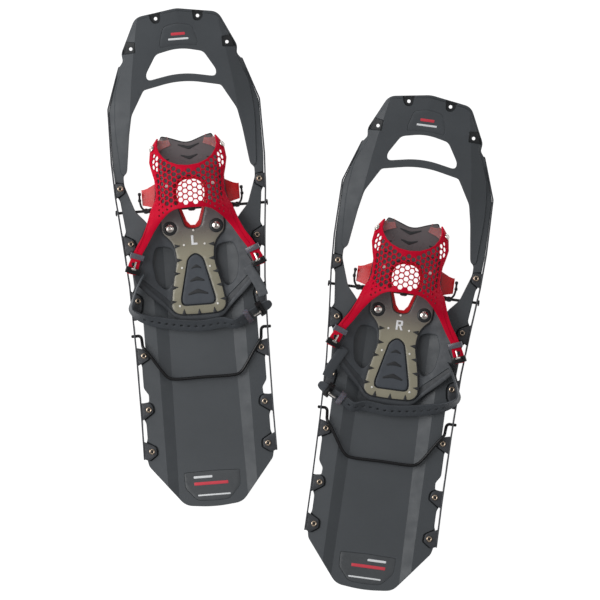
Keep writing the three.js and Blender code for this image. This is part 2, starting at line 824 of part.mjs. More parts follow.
// The tab that comes up from the footbed's toe corner to the snap, inside the strap.
function toeAnchor() {
  const inside = SNAP_SEAT.clone().addScaledVector(SNAP_AXIS, -SNAP_DEPTH);
  const across = archPoint(SNAP.across, SNAP.ahead + 0.05).sub(SNAP_SEAT).normalize();
  const down = SNAP_AXIS.clone().cross(across).negate();
  const curve = new THREE.CatmullRomCurve3([
    inside.clone().addScaledVector(down, -4),
    inside,
    inside.clone().addScaledVector(down, 3),
    vec(34, SNAP_SEAT.y, FOOTBED_TOP + 0.5),
    vec(27, SNAP_SEAT.y, FOOTBED_TOP - 1),
  ]);
  const tab = strap(curve, 11, ANCHOR_THICK, 8, () => across.clone());
  const { y } = SNAP_SEAT;
  const root = block(24, 42.5, y - 7.2, y + 6.5, FOOTBED_TOP - 1, FOOTBED_TOP + 2.9);
  return cut(join(tab, root), snapRod(-9, 3, SNAP_SHANK + GAP, 6));
}

const HEEL_TILT = vec(0, 0, 0.69);
const heelWidthAt = (point) =>
  vec(0, 320).sub(vec(point.x, point.y)).normalize().multiplyScalar(0.72).add(HEEL_TILT);

function heelStrap() {
  const curve = new THREE.CatmullRomCurve3([
    vec(-68, 305, 46.5),
    vec(-76, 291, 48.5),
    vec(-84, 273, 47),
    vec(-87, 260, 43),
    vec(-76, 249.5, 40.5),
    vec(-45, 240, 40),
    vec(0, 233.5, 40),
    vec(30, 235.5, 41),
    ...[-38, -28, -18, -6, 6, 16].map((distance) => along(HEEL, distance)),
  ]);
  const flat = vec(-0.9, -0.43, -0.25);
  const band = strap(curve, HEEL_STRAP_WIDTH, STRAP_THICK, 30, (t) => {
    const upright = heelWidthAt(curve.getPointAt(t)).lerp(HEEL.across, smooth(t, 0.7, 0.82));
    return flat.clone().negate().lerp(upright, smooth(t, 0.04, 0.3));
  });
  return cut(band, prongHole(HEEL));
}

function heelTab() {
  const curve = new THREE.CatmullRomCurve3([
    vec(66, 306, 42.5),
    vec(74, 291, 44),
    vec(81, 276, 46),
    vec(84, 266, 47.5),
  ]);
  return strap(curve, 13, STRAP_THICK, 8, () => vec(0.9, 0.42, 0.2));
}

// ---- Heel lift ----------------------------------------------------------------------------------

function heelLift() {
  const reach = railX(BAIL.y) + 3.5;
  const half = [
    [reach, BAIL.y, BAIL.z],
    [reach - 5, BAIL.y, BAIL.z],
    [80.5, BAIL.y, BAIL.z],
    [78, 224, BAIL.z + 0.4],
    [77, 218, 28],
    [76, 211, 34],
    [69, 200, 34],
    [51, 172, 32],
    [47, 168, 31.6],
    [42, 165.5, 31.6],
  ];
  const points = [...half, [0, 165, 31.6], ...half.map(([x, y, z]) => [-x, y, z]).reverse()];
  const curve = new THREE.CatmullRomCurve3(points.map((point) => vec(...point)), false, "centripetal");
  return wire(curve, BAIL.r, 48);
}

// ---- One shoe, and the pair ---------------------------------------------------------------------

function shoe(side) {
  const group = new THREE.Group();
  const add = (name, geometry, colour) => group.add(piece(`${side}_${name}`, geometry, colour));
  const both = (name, innerGeometry, colour) => {
    add(`${name}_inner`, innerGeometry, colour);
    add(`${name}_outer`, mirrored(innerGeometry), colour);
  };
  const placed = (geometry, { place }) => geometry.applyMatrix4(place);
  const instepHalf = STRAP_WIDTH / 2;
  const heelHalf = HEEL_STRAP_WIDTH / 2;

  add("deck", deck(), "deck");
  both("rail", rail(), "steel");
  add("axle", axle(), "steel");
  add("heel_lift", heelLift(), "steel");

  add("crampon", crampon(), "red_steel");
  both("axle_sleeve", sleeve(), "pad");
  both("wing_bumper", bumper(), "pad");
  add("harness", harness(), "harness");
  add("footbed", footbed(), "footbed");
  add("heel_pad", heelPad(), "pad");
  both("pivot_rivet", pivotRivet(), "bright");
  add("toe_strap", toeStrap(), "strap");
  both("toe_snap", toeSnap(), "bright");
  both("instep_buckle", mirrored(placed(buckle(instepHalf), INSTEP)), "steel");
  both("instep_prong", mirrored(placed(prong(), INSTEP)), "bright");
  both("instep_keeper", mirrored(placed(keeper(instepHalf), INSTEP)), "keeper");

  add("heel_strap", heelStrap(), "harness");
  add("heel_tab", heelTab(), "harness");
  add("heel_buckle", placed(buckle(heelHalf), HEEL), "steel");
  add("heel_prong", placed(prong(), HEEL), "bright");
  add("heel_keeper", placed(keeper(heelHalf), HEEL), "keeper");
  return group;
}

function laid(group, { x, y, turn }, mirror) {
  group.position.set(x, y, 0);
  group.rotation.z = radians(turn);
  group.scale.x = mirror ? -1 : 1;
  return group;
}

const pair = new THREE.Group();
pair.add(laid(shoe("left"), LEFT_PLACE, false));
pair.add(laid(shoe("right"), RIGHT_PLACE, true));

export default pair;
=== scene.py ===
import json
import math

import bmesh
import bpy
import numpy as np
from mathutils import Matrix, Vector
from mathutils.geometry import delaunay_2d_cdt


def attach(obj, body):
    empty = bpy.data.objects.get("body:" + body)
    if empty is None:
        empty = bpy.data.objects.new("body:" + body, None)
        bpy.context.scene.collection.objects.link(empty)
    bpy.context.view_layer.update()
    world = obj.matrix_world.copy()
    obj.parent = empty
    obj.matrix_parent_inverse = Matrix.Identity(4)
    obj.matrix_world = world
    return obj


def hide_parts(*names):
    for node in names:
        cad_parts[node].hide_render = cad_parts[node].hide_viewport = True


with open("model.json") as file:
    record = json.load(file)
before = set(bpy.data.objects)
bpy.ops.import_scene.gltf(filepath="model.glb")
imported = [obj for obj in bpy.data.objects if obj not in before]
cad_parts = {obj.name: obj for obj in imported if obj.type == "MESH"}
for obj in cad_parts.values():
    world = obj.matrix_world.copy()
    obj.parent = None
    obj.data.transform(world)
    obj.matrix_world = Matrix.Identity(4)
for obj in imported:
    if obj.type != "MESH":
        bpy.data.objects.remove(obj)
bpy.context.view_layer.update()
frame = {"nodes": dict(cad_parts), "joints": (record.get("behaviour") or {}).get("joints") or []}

# A pair of mountain snowshoes. Every shape is drawn once, in the left shoe's own frame in millimetres
# (x to the right, y from the tail to the toe, z up from the ground), and is then set in both shoes:
# the right shoe is the left one's mirror image. "Inner" is the side towards the other shoe.

MM = 0.001
PIVOT = (0.0, 386.0, 19.0)  # the middle of the axle
LIFT_SEAT = (226.0, 23.5)  # where the heel lift's ends go through the rails, as y and z

# Heights in the shoe's frame, as the CAD parts have them.
DECK_TOP = 28.0
DECK_THICK = 3.0
RAIL_TOP = 30.4
HARNESS_BOTTOM = 28.9
HARNESS_THICK = 2.4
FOOTBED_BOTTOM = 31.7
FOOTBED_TOP = 34.1
STRAP_THICK = 2.2

UP = (0, 0, 1)
SIDES = ("left", "right")
JOINTS = {joint["name"]: joint for joint in frame["joints"]}


def shoe_place(side):
    """The matrix from a shoe's own frame, in millimetres, to the row frame, from its pivot joint."""
    joint = JOINTS[f"{side}_binding_pivot"]
    x_axis = -Vector(joint["axis"])
    y_axis = Vector((-x_axis.y, x_axis.x, 0.0))
    turn = Matrix((x_axis, y_axis, Vector((0.0, 0.0, 1.0)))).transposed().to_4x4()
    flip = -1.0 if side == "right" else 1.0
    local = turn @ Matrix.Diagonal((flip * MM, MM, MM, 1.0))
    return Matrix.Translation(Vector(joint["pos_m"]) - local @ Vector(PIVOT)) @ local


PLACE = {side: shoe_place(side) for side in SIDES}


# ---- Outlines

def refine(loop, step):
    """The same closed loop with no two points further apart than step, and none doubled."""
    points = []
    for a, b in zip(loop, np.roll(loop, -1, axis=0)):
        count = max(1, math.ceil(np.linalg.norm(b - a) / step))
        points.extend(a + (b - a) * k / count for k in range(count))
    kept = [p for i, p in enumerate(points) if np.linalg.norm(p - points[i - 1]) > 0.05]
    return np.array(kept)


def outline(corners, step=2.0):
    """A closed loop through [x, y, round] corners. round is how far from it the rounding starts."""
    loop = []
    for i, corner in enumerate(corners):
        at = np.array(corner[:2], float)
        reach = corner[2] if len(corner) > 2 else 0.0
        if not reach:
            loop.append(at)
            continue
        before = np.array(corners[i - 1][:2], float)
        after = np.array(corners[(i + 1) % len(corners)][:2], float)
        start = at + (before - at) * min(reach / np.linalg.norm(before - at), 0.5)
        end = at + (after - at) * min(reach / np.linalg.norm(after - at), 0.5)
        for t in np.linspace(0.0, 1.0, max(4, math.ceil(1.5 * reach / step) + 1)):
            loop.append((1 - t) ** 2 * start + 2 * t * (1 - t) * at + t * t * end)
    return refine(np.array(loop), step)


def fold_line(corners, step):
    """Points along an open line of [x, y] corners."""
    corners = np.array(corners, float)
    run = np.concatenate([[0.0], np.cumsum(np.linalg.norm(np.diff(corners, axis=0), axis=1))])
    at = np.linspace(0.0, run[-1], max(2, math.ceil(run[-1] / step)))
    return np.stack([np.interp(at, run, corners[:, 0]), np.interp(at, run, corners[:, 1])], axis=1)


def both_halves(half):
    """A loop that is its own mirror image, from its right half listed from bottom to top."""
    return list(half) + [(-c[0], *c[1:]) for c in reversed(half) if c[0] > 0]


def flipped(corners):
    return [(-c[0], *c[1:]) for c in corners]


def ring(x, y, rx, ry=None, count=16, turn=0.0):
    angles = np.linspace(0.0, 2 * math.pi, count, endpoint=False)
    across, along = rx * np.cos(angles), (ry or rx) * np.sin(angles)
    c, s = math.cos(turn), math.sin(turn)
    return np.stack([x + across * c - along * s, y + across * s + along * c], axis=1)


def distance(points, loops):
    """How far each point is from the nearest of the closed loops."""
    a = np.concatenate(loops)
    ab = np.concatenate([np.roll(loop, -1, axis=0) for loop in loops]) - a
    length2 = np.maximum((ab ** 2).sum(axis=1), 1e-12)
    best = np.empty(len(points))
    for i in range(0, len(points), 1500):
        ap = points[i:i + 1500, None, :] - a[None]
        t = np.clip((ap * ab).sum(axis=2) / length2, 0.0, 1.0)
        best[i:i + 1500] = np.sqrt(((ap - t[..., None] * ab) ** 2).sum(axis=2).min(axis=1))
    return best


def inside(points, loop):
    x, y = points[:, :1], points[:, 1:]
    x0, y0 = loop[:, 0], loop[:, 1]
    x1, y1 = np.roll(x0, -1), np.roll(y0, -1)
    spans = (y0 > y) != (y1 > y)
    run = np.where(y1 == y0, 1.0, y1 - y0)
    crossing = x < (x1 - x0) * (y - y0) / run + x0
    return (spans & crossing).sum(axis=1) % 2 == 1


def depth_in(points, loop):
    """How far each point is inside the loop, and 0 for those outside it."""
    return np.where(inside(points, loop), distance(points, [loop]), 0.0)


def offset(loop, amount):
    """The loop moved sideways: to its left where amount is positive."""
    ahead = np.roll(loop, -1, axis=0) - np.roll(loop, 1, axis=0)
    ahead /= np.maximum(np.linalg.norm(ahead, axis=1, keepdims=True), 1e-9)
    return loop + amount * np.stack([-ahead[:, 1], ahead[:, 0]], axis=1)


def smooth(value, low, high):
    t = np.clip((value - low) / (high - low), 0.0, 1.0)
    return t * t * (3 - 2 * t)


# ---- Sheets, tubes and turned shapes

def sheet(rim, holes=(), reliefs=(), cell=4.0, edge=0.7, thick=2.0, surface=None, under=0.35, base=0.0,
          creases=()):
    """A plate of that outline with rounded edges. reliefs are (loop, height, slope) steps in its top,
    and creases are open lines that its top folds along.
    surface(points, height) sets a flat point and its height over the plate in space."""
    loops = [rim, *holes]
    rings = []
    for loop in loops:
        for amount in (0.3 * edge, edge, -0.3 * edge, -edge):
            rings.append(offset(loop, amount))
    for loop, _, slope in reliefs:
        for amount in (slope, -slope):
            rings.append(offset(loop, amount))
    low, high = rim.min(axis=0), rim.max(axis=0)
    grid = []
    for k, y in enumerate(np.arange(low[1] + 0.4 * cell, high[1], cell * 0.87)):
        row = np.arange(low[0] + (k % 2) * cell / 2, high[0], cell)
        grid.append(np.stack([row, np.full_like(row, y)], axis=1))
    lines = loops + [loop for loop, _, _ in reliefs]

    def in_material(points):
        kept = inside(points, rim)
        for hole in holes:
            kept &= ~inside(points, hole)
        return kept

    ring_points = np.concatenate(rings)
    ring_points = ring_points[in_material(ring_points)]
    ring_points = ring_points[distance(ring_points, loops) > 0.25 * edge]
    grid_points = np.concatenate(grid)
    grid_points = grid_points[in_material(grid_points)]
    grid_points = grid_points[distance(grid_points, lines) > edge + 0.35 * cell]
    fixed, edges = [], []
    for loop in lines:
        first = len(fixed)
        fixed.extend(loop)
        edges.extend((first + i, first + (i + 1) % len(loop)) for i in range(len(loop)))
    for line in creases:
        line = fold_line(line, cell)
        line = line[in_material(line)]
        line = line[distance(line, lines) > edge]
        apart = np.abs(line[:, None] - grid_points[None]).max(axis=2).min(axis=0)
        grid_points = grid_points[apart > 0.4 * cell]
        first = len(fixed)
        fixed.extend(line)
        gaps = np.linalg.norm(np.diff(line, axis=0), axis=1)
        edges.extend((first + i, first + i + 1) for i, gap in enumerate(gaps) if gap < 1.6 * cell)
    flat = np.concatenate([np.array(fixed), ring_points, grid_points])
    found = delaunay_2d_cdt([Vector(p) for p in flat], edges, [], 0, 1e-4)
    points = np.array([tuple(p) for p in found[0]])
    faces = np.array(found[2])
    faces = faces[in_material(points[faces].mean(axis=1))]
    used = np.unique(faces)
    renumber = np.zeros(len(points), int)
    renumber[used] = np.arange(len(used))
    points, faces = points[used], renumber[faces]

    depth = distance(points, loops)
    fall = edge * (1 - np.sqrt(np.clip(1 - (1 - np.clip(depth / edge, 0, 1)) ** 2, 0, 1)))
    relief = np.zeros(len(points))
    for loop, height, slope in reliefs:
        relief += height * smooth(depth_in(points, loop), 0.0, slope)
    surface = surface or (lambda flat_points, height: np.column_stack([flat_points, height]))
    top = surface(points, base + thick + relief - fall)
    bottom = surface(points, base + under * fall)
    count = len(points)
    pairs = np.concatenate([faces[:, [0, 1]], faces[:, [1, 2]], faces[:, [2, 0]]])
    key = np.sort(pairs, axis=1)
    _, index, times = np.unique(key, axis=0, return_index=True, return_counts=True)
    border = pairs[index[times == 1]]
    walls = np.column_stack([border[:, 1], border[:, 0], border[:, 0] + count, border[:, 1] + count])
    return np.concatenate([top, bottom]), [faces, faces[:, ::-1] + count, walls]


def spline(points, count=160):
    """Points evenly spaced along a centripetal Catmull-Rom curve."""
    p = np.array(points, float)
    p = np.vstack([2 * p[0] - p[1], p, 2 * p[-1] - p[-2]])
    dense = []
    for p0, p1, p2, p3 in zip(p, p[1:], p[2:], p[3:]):
        t0 = 0.0
        t1 = t0 + np.linalg.norm(p1 - p0) ** 0.5
        t2 = t1 + np.linalg.norm(p2 - p1) ** 0.5
        t3 = t2 + np.linalg.norm(p3 - p2) ** 0.5
        for t in np.linspace(t1, t2, 24, endpoint=False):
            a1 = (t1 - t) / (t1 - t0) * p0 + (t - t0) / (t1 - t0) * p1
            a2 = (t2 - t) / (t2 - t1) * p1 + (t - t1) / (t2 - t1) * p2
            a3 = (t3 - t) / (t3 - t2) * p2 + (t - t2) / (t3 - t2) * p3
            b1 = (t2 - t) / (t2 - t0) * a1 + (t - t0) / (t2 - t0) * a2
            b2 = (t3 - t) / (t3 - t1) * a2 + (t - t1) / (t3 - t1) * a3
            dense.append((t2 - t) / (t2 - t1) * b1 + (t - t1) / (t2 - t1) * b2)
    dense = np.array(dense + [p[-2]])
    run = np.concatenate([[0.0], np.cumsum(np.linalg.norm(np.diff(dense, axis=0), axis=1))])
    at = np.linspace(0.0, run[-1], count)
    return np.stack([np.interp(at, run, dense[:, k]) for k in range(3)], axis=1), run[-1]


def unit(v):
    return v / np.maximum(np.linalg.norm(v, axis=-1, keepdims=True), 1e-9)


def tube(points, radius, count, sides=16):
    """A round wire through the points, with domed ends."""
    path, _ = spline(points, count)
    tangent = unit(np.gradient(path, axis=0))
    normal = unit(np.cross(tangent[0], [0.13, 0.31, 0.94]))
    dome = np.array([0.0, 0.35, 0.7, 0.92])
    start = path[0] - tangent[0] * radius * (1 - dome[:, None]) * 0.6
    end = path[-1] + tangent[-1] * radius * (1 - dome[::-1, None]) * 0.6
    centres = np.vstack([start, path, end])
    directions = np.vstack([np.repeat(tangent[:1], 4, 0), tangent, np.repeat(tangent[-1:], 4, 0)])
    rise = np.sqrt(np.clip(1 - (1 - dome) ** 2, 0.02, 1))
    radii = np.concatenate([rise, np.ones(len(path)), rise[::-1]]) * radius
    angles = np.linspace(0, 2 * math.pi, sides, endpoint=False)
    rings = []
    for centre, direction, r in zip(centres, directions, radii):
        normal = unit(normal - direction * np.dot(normal, direction))
        side = np.cross(direction, normal)
        rings.append(centre + r * (np.cos(angles)[:, None] * normal + np.sin(angles)[:, None] * side))
    return loft(np.array(rings))


def loft(rings):
    """Closed rings of points joined into one body with closed ends."""
    rows, sides = rings.shape[:2]
    index = np.arange(rows * sides).reshape(rows, sides)
    nxt = np.roll(index, -1, axis=1)
    walls = np.stack([index[:-1], nxt[:-1], nxt[1:], index[1:]], axis=-1).reshape(-1, 4)
    caps = [index[0][::-1][None], index[-1][None]]
    return rings.reshape(-1, 3), [walls, *caps]


def turned(profile, base, axis, sides=28):
    """A body turned about an axis from base, through (radius, height) points from end to end."""
    axis = unit(np.array(axis, float))
    u = unit(np.cross(axis, [0.31, 0.9, 0.2]))
    v = np.cross(axis, u)
    angles = np.linspace(0, 2 * math.pi, sides, endpoint=False)[:, None]
    rings = [
        np.array(base) + axis * h + max(r, 0.02) * (np.cos(angles) * u + np.sin(angles) * v)
        for r, h in profile
    ]
    return loft(np.array(rings))


def ribbon(points, across, count=160):
    """surface() for a strap along a curve. across(t) is the direction of its width at t, from 0 to 1."""
    path, length = spline(points, count)
    tangent = unit(np.gradient(path, axis=0))
    width = np.array([across(t) for t in np.linspace(0, 1, count)])
    width = unit(width - tangent * (width * tangent).sum(axis=1, keepdims=True))
    normal = np.cross(tangent, width)
    at = np.linspace(0.0, length, count)

    def follow(flat, height):
        def pick(table):
            return np.stack([np.interp(flat[:, 0], at, table[:, k]) for k in range(3)], axis=1)
        return pick(path) + pick(width) * flat[:, 1:2] + pick(normal) * np.asarray(height)[:, None]

    return follow, length


def merged(*shapes):
    points, faces, first = [], [], 0
    for shape_points, shape_faces in shapes:
        points.append(shape_points)
        faces.extend(group + first for group in shape_faces)
        first += len(shape_points)
    return np.concatenate(points), faces


def mirrored(shape):
    points, faces = shape
    return points * [-1.0, 1.0, 1.0], [group[:, ::-1] for group in faces]


# ---- Setting pieces in the scene

def linked(name, data):
    """A new object in the scene."""
    holder = bpy.data.objects.new(name, data)
    bpy.context.scene.collection.objects.link(holder)
    return holder


def make_object(name, points, faces, material, sharp=38.0, shade_and_tone=None):
    """The tone values say how far each point's colour is from its material's own colour to its second
    one: painted shade in the deck's recesses and tab pockets and in the harness's cuts, a darker rim on
    the harness, and a change of colour along the smoky plate.
    """
    mesh = bpy.data.meshes.new(name)
    mesh.from_pydata(points.tolist(), [], [face for group in faces for face in group.tolist()])
    if shade_and_tone is not None:
        mesh.attributes.new("shade_and_tone", "FLOAT", "POINT").data.foreach_set("value", shade_and_tone)
    cleaner = bmesh.new()
    cleaner.from_mesh(mesh)
    bmesh.ops.recalc_face_normals(cleaner, faces=cleaner.faces)
    cleaner.to_mesh(mesh)
    cleaner.free()
    mesh.materials.append(material)
    mesh.shade_smooth()
    mesh.set_sharp_from_angle(angle=math.radians(sharp))
    return linked(name, mesh)


def put(side, name, shape, body, material, nodes=(), sharp=38.0, shade_and_tone=None):
    place = np.array(PLACE[side])
    points, faces = shape
    placed = points @ place[:3, :3].T + place[:3, 3]
    shade_and_tone_values = None if shade_and_tone is None else shade_and_tone(points)
    piece = make_object(f"{side}_{name}_look", placed, faces, material, sharp, shade_and_tone_values)
    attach(piece, f"{side}_{body}")
    if nodes:
        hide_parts(*[f"{side}_{node}" for node in nodes])


def put_both(name, shape, body, material, nodes=(), sharp=38.0, shade_and_tone=None):
    for side in SIDES:
        put(side, name, shape, body, material, nodes, sharp, shade_and_tone)


def put_pair(name, shape, body, material, node=None):
    """A piece on the inner side of each shoe, and its mirror image on the outer side."""
    for hand, drawn in (("inner", shape), ("outer", mirrored(shape))):
        nodes = [f"{node}_{hand}"] if node else ()
        put_both(f"{name}_{hand}", drawn, body, material, nodes)


def soften(node, body, material, width=0.45, bend=None):
    """A piece with the CAD node's shape and rounded edges. bend moves a point of the shoe's frame."""
    source = frame["nodes"][node]
    mesh = source.data.copy()
    mesh.name = f"{node}_look"
    shaper = bmesh.new()
    shaper.from_mesh(mesh)
    bmesh.ops.remove_doubles(shaper, verts=shaper.verts, dist=1e-6)
    bmesh.ops.dissolve_limit(
        shaper, angle_limit=math.radians(2), verts=shaper.verts, edges=shaper.edges)
    folded = math.radians(28)
    sharp = [e for e in shaper.edges if len(e.link_faces) == 2 and e.calc_face_angle() > folded]
    bmesh.ops.bevel(
        shaper, geom=sharp, offset=width * MM, segments=2, profile=0.6, affect="EDGES",
        clamp_overlap=True)
    bmesh.ops.triangulate(shaper, faces=[f for f in shaper.faces if len(f.verts) > 4])
    if bend:
        place = PLACE[node.split("_")[0]]
        back = place.inverted()
        for vertex in shaper.verts:
            vertex.co = place @ bend(back @ vertex.co)
    shaper.to_mesh(mesh)
    shaper.free()
    mesh.materials.clear()
    mesh.materials.append(material)
    mesh.shade_smooth()
    mesh.set_sharp_from_angle(angle=math.radians(40))
    piece = linked(f"{node}_look", mesh)
    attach(piece, body)
    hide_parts(node)


# ---- Materials

def build_material(name, color, rough=0.5, metal=0.0, grain=(900, 0.25), mottle=(30, 0.12), coat=0.0,
                   scratch=0.0, tint=None, glow=0.0, shade_and_tone_colour=None, shine=0.5):
    """A plastic, rubber or metal with grain in its bump, and mottling in its colour and roughness."""
    material = bpy.data.materials.new(name)
    material.use_nodes = True
    nodes, links = material.node_tree.nodes, material.node_tree.links
    shader = nodes["Principled BSDF"]
    shader.inputs["Metallic"].default_value = metal
    shader.inputs["Coat Weight"].default_value = coat
    shader.inputs["Coat Roughness"].default_value = 0.22
    shader.inputs["Specular IOR Level"].default_value = shine
    shader.inputs["Subsurface Weight"].default_value = glow
    shader.inputs["Subsurface Scale"].default_value = 0.003
    where = nodes.new("ShaderNodeTexCoord")

    def noise(scale, detail, stretch=(1, 1, 1)):
        mapping = nodes.new("ShaderNodeMapping")
        mapping.inputs["Scale"].default_value = stretch
        texture = nodes.new("ShaderNodeTexNoise")
        texture.inputs["Scale"].default_value = scale
        texture.inputs["Detail"].default_value = detail
        links.new(where.outputs["Object"], mapping.inputs["Vector"])
        links.new(mapping.outputs["Vector"], texture.inputs["Vector"])
        return texture.outputs["Fac"]

    def spread(value, low, high):
        reach = nodes.new("ShaderNodeMapRange")
        reach.inputs["From Min"].default_value = 0.3
        reach.inputs["From Max"].default_value = 0.7
        reach.inputs["To Min"].default_value = low
        reach.inputs["To Max"].default_value = high
        links.new(value, reach.inputs["Value"])
        return reach.outputs["Result"]

    cloud = noise(mottle[0], 5)
    mix = nodes.new("ShaderNodeMix")
    mix.data_type = "RGBA"
    dark = [c * (1 - mottle[1]) for c in color]
    light = [min(1.0, c * (1 + mottle[1])) for c in (tint or color)]
    mix.inputs["A"].default_value = (*dark, 1)
    mix.inputs["B"].default_value = (*light, 1)
    links.new(spread(cloud, 0.0, 1.0), mix.inputs["Factor"])
    colour = mix.outputs["Result"]
    # The second colour comes in by each point's tone value; on the deck and the harness it is painted
    # shade.
    if shade_and_tone_colour:
        shade_and_tone = nodes.new("ShaderNodeAttribute")
        shade_and_tone.attribute_name = "shade_and_tone"
        shift = nodes.new("ShaderNodeMix")
        shift.data_type = "RGBA"
        shift.inputs["B"].default_value = (*shade_and_tone_colour, 1)
        links.new(shade_and_tone.outputs["Fac"], shift.inputs["Factor"])
        links.new(colour, shift.inputs["A"])
        colour = shift.outputs["Result"]
    links.new(colour, shader.inputs["Base Color"])
    links.new(spread(noise(mottle[0] * 5, 4), rough - 0.07, rough + 0.07), shader.inputs["Roughness"])

    bump = nodes.new("ShaderNodeBump")
    bump.inputs["Strength"].default_value = grain[1]
    bump.inputs["Distance"].default_value = 0.0003
    links.new(noise(grain[0], 3), bump.inputs["Height"])
    normal = bump.outputs["Normal"]
    if scratch:
        streaks = nodes.new("ShaderNodeBump")
        streaks.inputs["Strength"].default_value = scratch
        streaks.inputs["Distance"].default_value = 0.0002
        links.new(noise(160, 6, (9, 1, 1)), streaks.inputs["Height"])
        links.new(normal, streaks.inputs["Normal"])
        normal = streaks.outputs["Normal"]
    links.new(normal, shader.inputs["Normal"])
    return material


def srgb(*values):
    return [((v / 255 + 0.055) / 1.055) ** 2.4 if v > 10 else v / 255 / 12.92 for v in values]


M = {
    # The deck's second colour, near black, is painted shade for its lash-hole recesses and tab pockets.
    "deck": build_material("deck_plastic", srgb(70, 74, 78), 0.52, grain=(1400, 0.35),
                           mottle=(14, 0.07), scratch=0.12, shade_and_tone_colour=srgb(20, 21, 23)),
    "badge": build_material("badge_plastic", srgb(72, 75, 78), 0.4, grain=(1800, 0.15),
                            mottle=(40, 0.05)),
    "print_red": build_material("red_print", srgb(214, 62, 78), 0.5, grain=(1500, 0.2),
                                mottle=(60, 0.05)),
    "print_white": build_material("white_print", srgb(232, 234, 236), 0.5, grain=(1500, 0.2),
                                  mottle=(60, 0.04)),
    "rail": build_material("coated_steel", srgb(64, 66, 70), 0.42, 0.15, grain=(1100, 0.3),
                           mottle=(25, 0.18), scratch=0.25),
    "wire": build_material("black_wire", srgb(26, 26, 28), 0.32, 0.3, grain=(900, 0.2),
                           mottle=(60, 0.15)),
    "red_steel": build_material("red_powder_coat", srgb(214, 6, 22), 0.3, grain=(1300, 0.08),
                                mottle=(50, 0.05), coat=0.3, shine=0.25),
    "black": build_material("black_plastic", srgb(24, 24, 26), 0.45, grain=(1000, 0.3),
                            mottle=(60, 0.12)),
    # The harness's second colour is painted shade in its cut-away recesses, and also darkens its rim.
    "harness": build_material("harness_rubber", srgb(64, 68, 73), 0.55, grain=(1200, 0.35),
                              mottle=(24, 0.12), shade_and_tone_colour=srgb(26, 27, 30)),
    "frame_rubber": build_material("footbed_rubber", srgb(34, 36, 39), 0.5, grain=(1200, 0.3),
                                   mottle=(40, 0.1)),
    "smoke": build_material("smoky_plastic", srgb(138, 134, 116), 0.3, grain=(1500, 0.12),
                            mottle=(12, 0.12), coat=0.2, tint=srgb(146, 141, 122),
                            shade_and_tone_colour=srgb(98, 92, 94)),
    "pin": build_material("pin_metal", srgb(238, 236, 230), 0.4, 0.2, grain=(900, 0.1),
                          mottle=(90, 0.04)),
    "clear_red": build_material("clear_over_red", srgb(168, 112, 112), 0.2, grain=(1500, 0.1),
                                mottle=(90, 0.12), coat=0.6, glow=0.3),
    "pad": build_material("heel_pad_rubber", srgb(66, 71, 78), 0.6, grain=(1300, 0.4),
                          mottle=(30, 0.08)),
    "strap": build_material("red_elastomer", srgb(202, 0, 44), 0.55, grain=(1100, 0.2),
                            mottle=(20, 0.08), shine=0.12),
    "bright": build_material("bright_steel", srgb(226, 220, 214), 0.2, 1.0, grain=(700, 0.15),
                             mottle=(120, 0.08)),
    "brass": build_material("rivet_metal", srgb(196, 178, 158), 0.28, 1.0, grain=(700, 0.2),
                            mottle=(160, 0.12)),
    "keeper": build_material("keeper_plastic", srgb(92, 88, 98), 0.3, grain=(900, 0.2), mottle=(60, 0.1),
                             coat=0.4, glow=0.2),
}


# ---- The deck

RAIL_LINE = np.array([
    (66, 86.5), (120, 86), (210, 86.5), (290, 88.5), (350, 93), (405, 98), (450, 100), (520, 99),
    (574, 80.2),
])


def rail_x(y):
    return np.interp(y, RAIL_LINE[:, 0], RAIL_LINE[:, 1])


def rocker(y):
    toe = np.clip((y - 430.0) / 213.0, 0, None)
    tail = np.clip((70.0 - y) / 70.0, 0, None)
    return 60.0 * toe ** 1.7 + 5.0 * tail ** 2


CHANNEL_DEPTH = 5.5
CHANNEL_WALL = ((44.5, 57.5), (41.0, 57.5))  # its foot and its top, at the tail and at its front end
SHOULDER_LINE = np.array([
    (430, 82), (437, 80), (485, 74), (511, 70), (545, 66), (581, 60.5), (628, 52), (650, 48),
])


def ramp(value, low, high):
    return np.clip((value - low) / (high - low), 0.0, 1.0)


def deck_height(x, y):
    """How far the deck's top lies above or below DECK_TOP, away from its small features."""
    side = np.abs(x)
    foot, top = (a + (b - a) * ramp(y, 0.0, 250.0) for a, b in zip(*CHANNEL_WALL))
    channel = CHANNEL_DEPTH * (1 - ramp(side, foot, top)) * (1 - ramp(y, 338.0, 350.0))
    shoulder_x = np.interp(y, SHOULDER_LINE[:, 0], SHOULDER_LINE[:, 1])
    shoulder = 0.42 * np.clip(side - shoulder_x, 0, None) * ramp(y, 430.0, 530.0)
    lean = 0.055 * np.clip(side - 57.0, 0, None) * (1 - ramp(y, 400.0, 440.0))
    crown = 0.07 * side * ramp(y, 600.0, 640.0)
    return rocker(y) - channel - shoulder - lean - crown


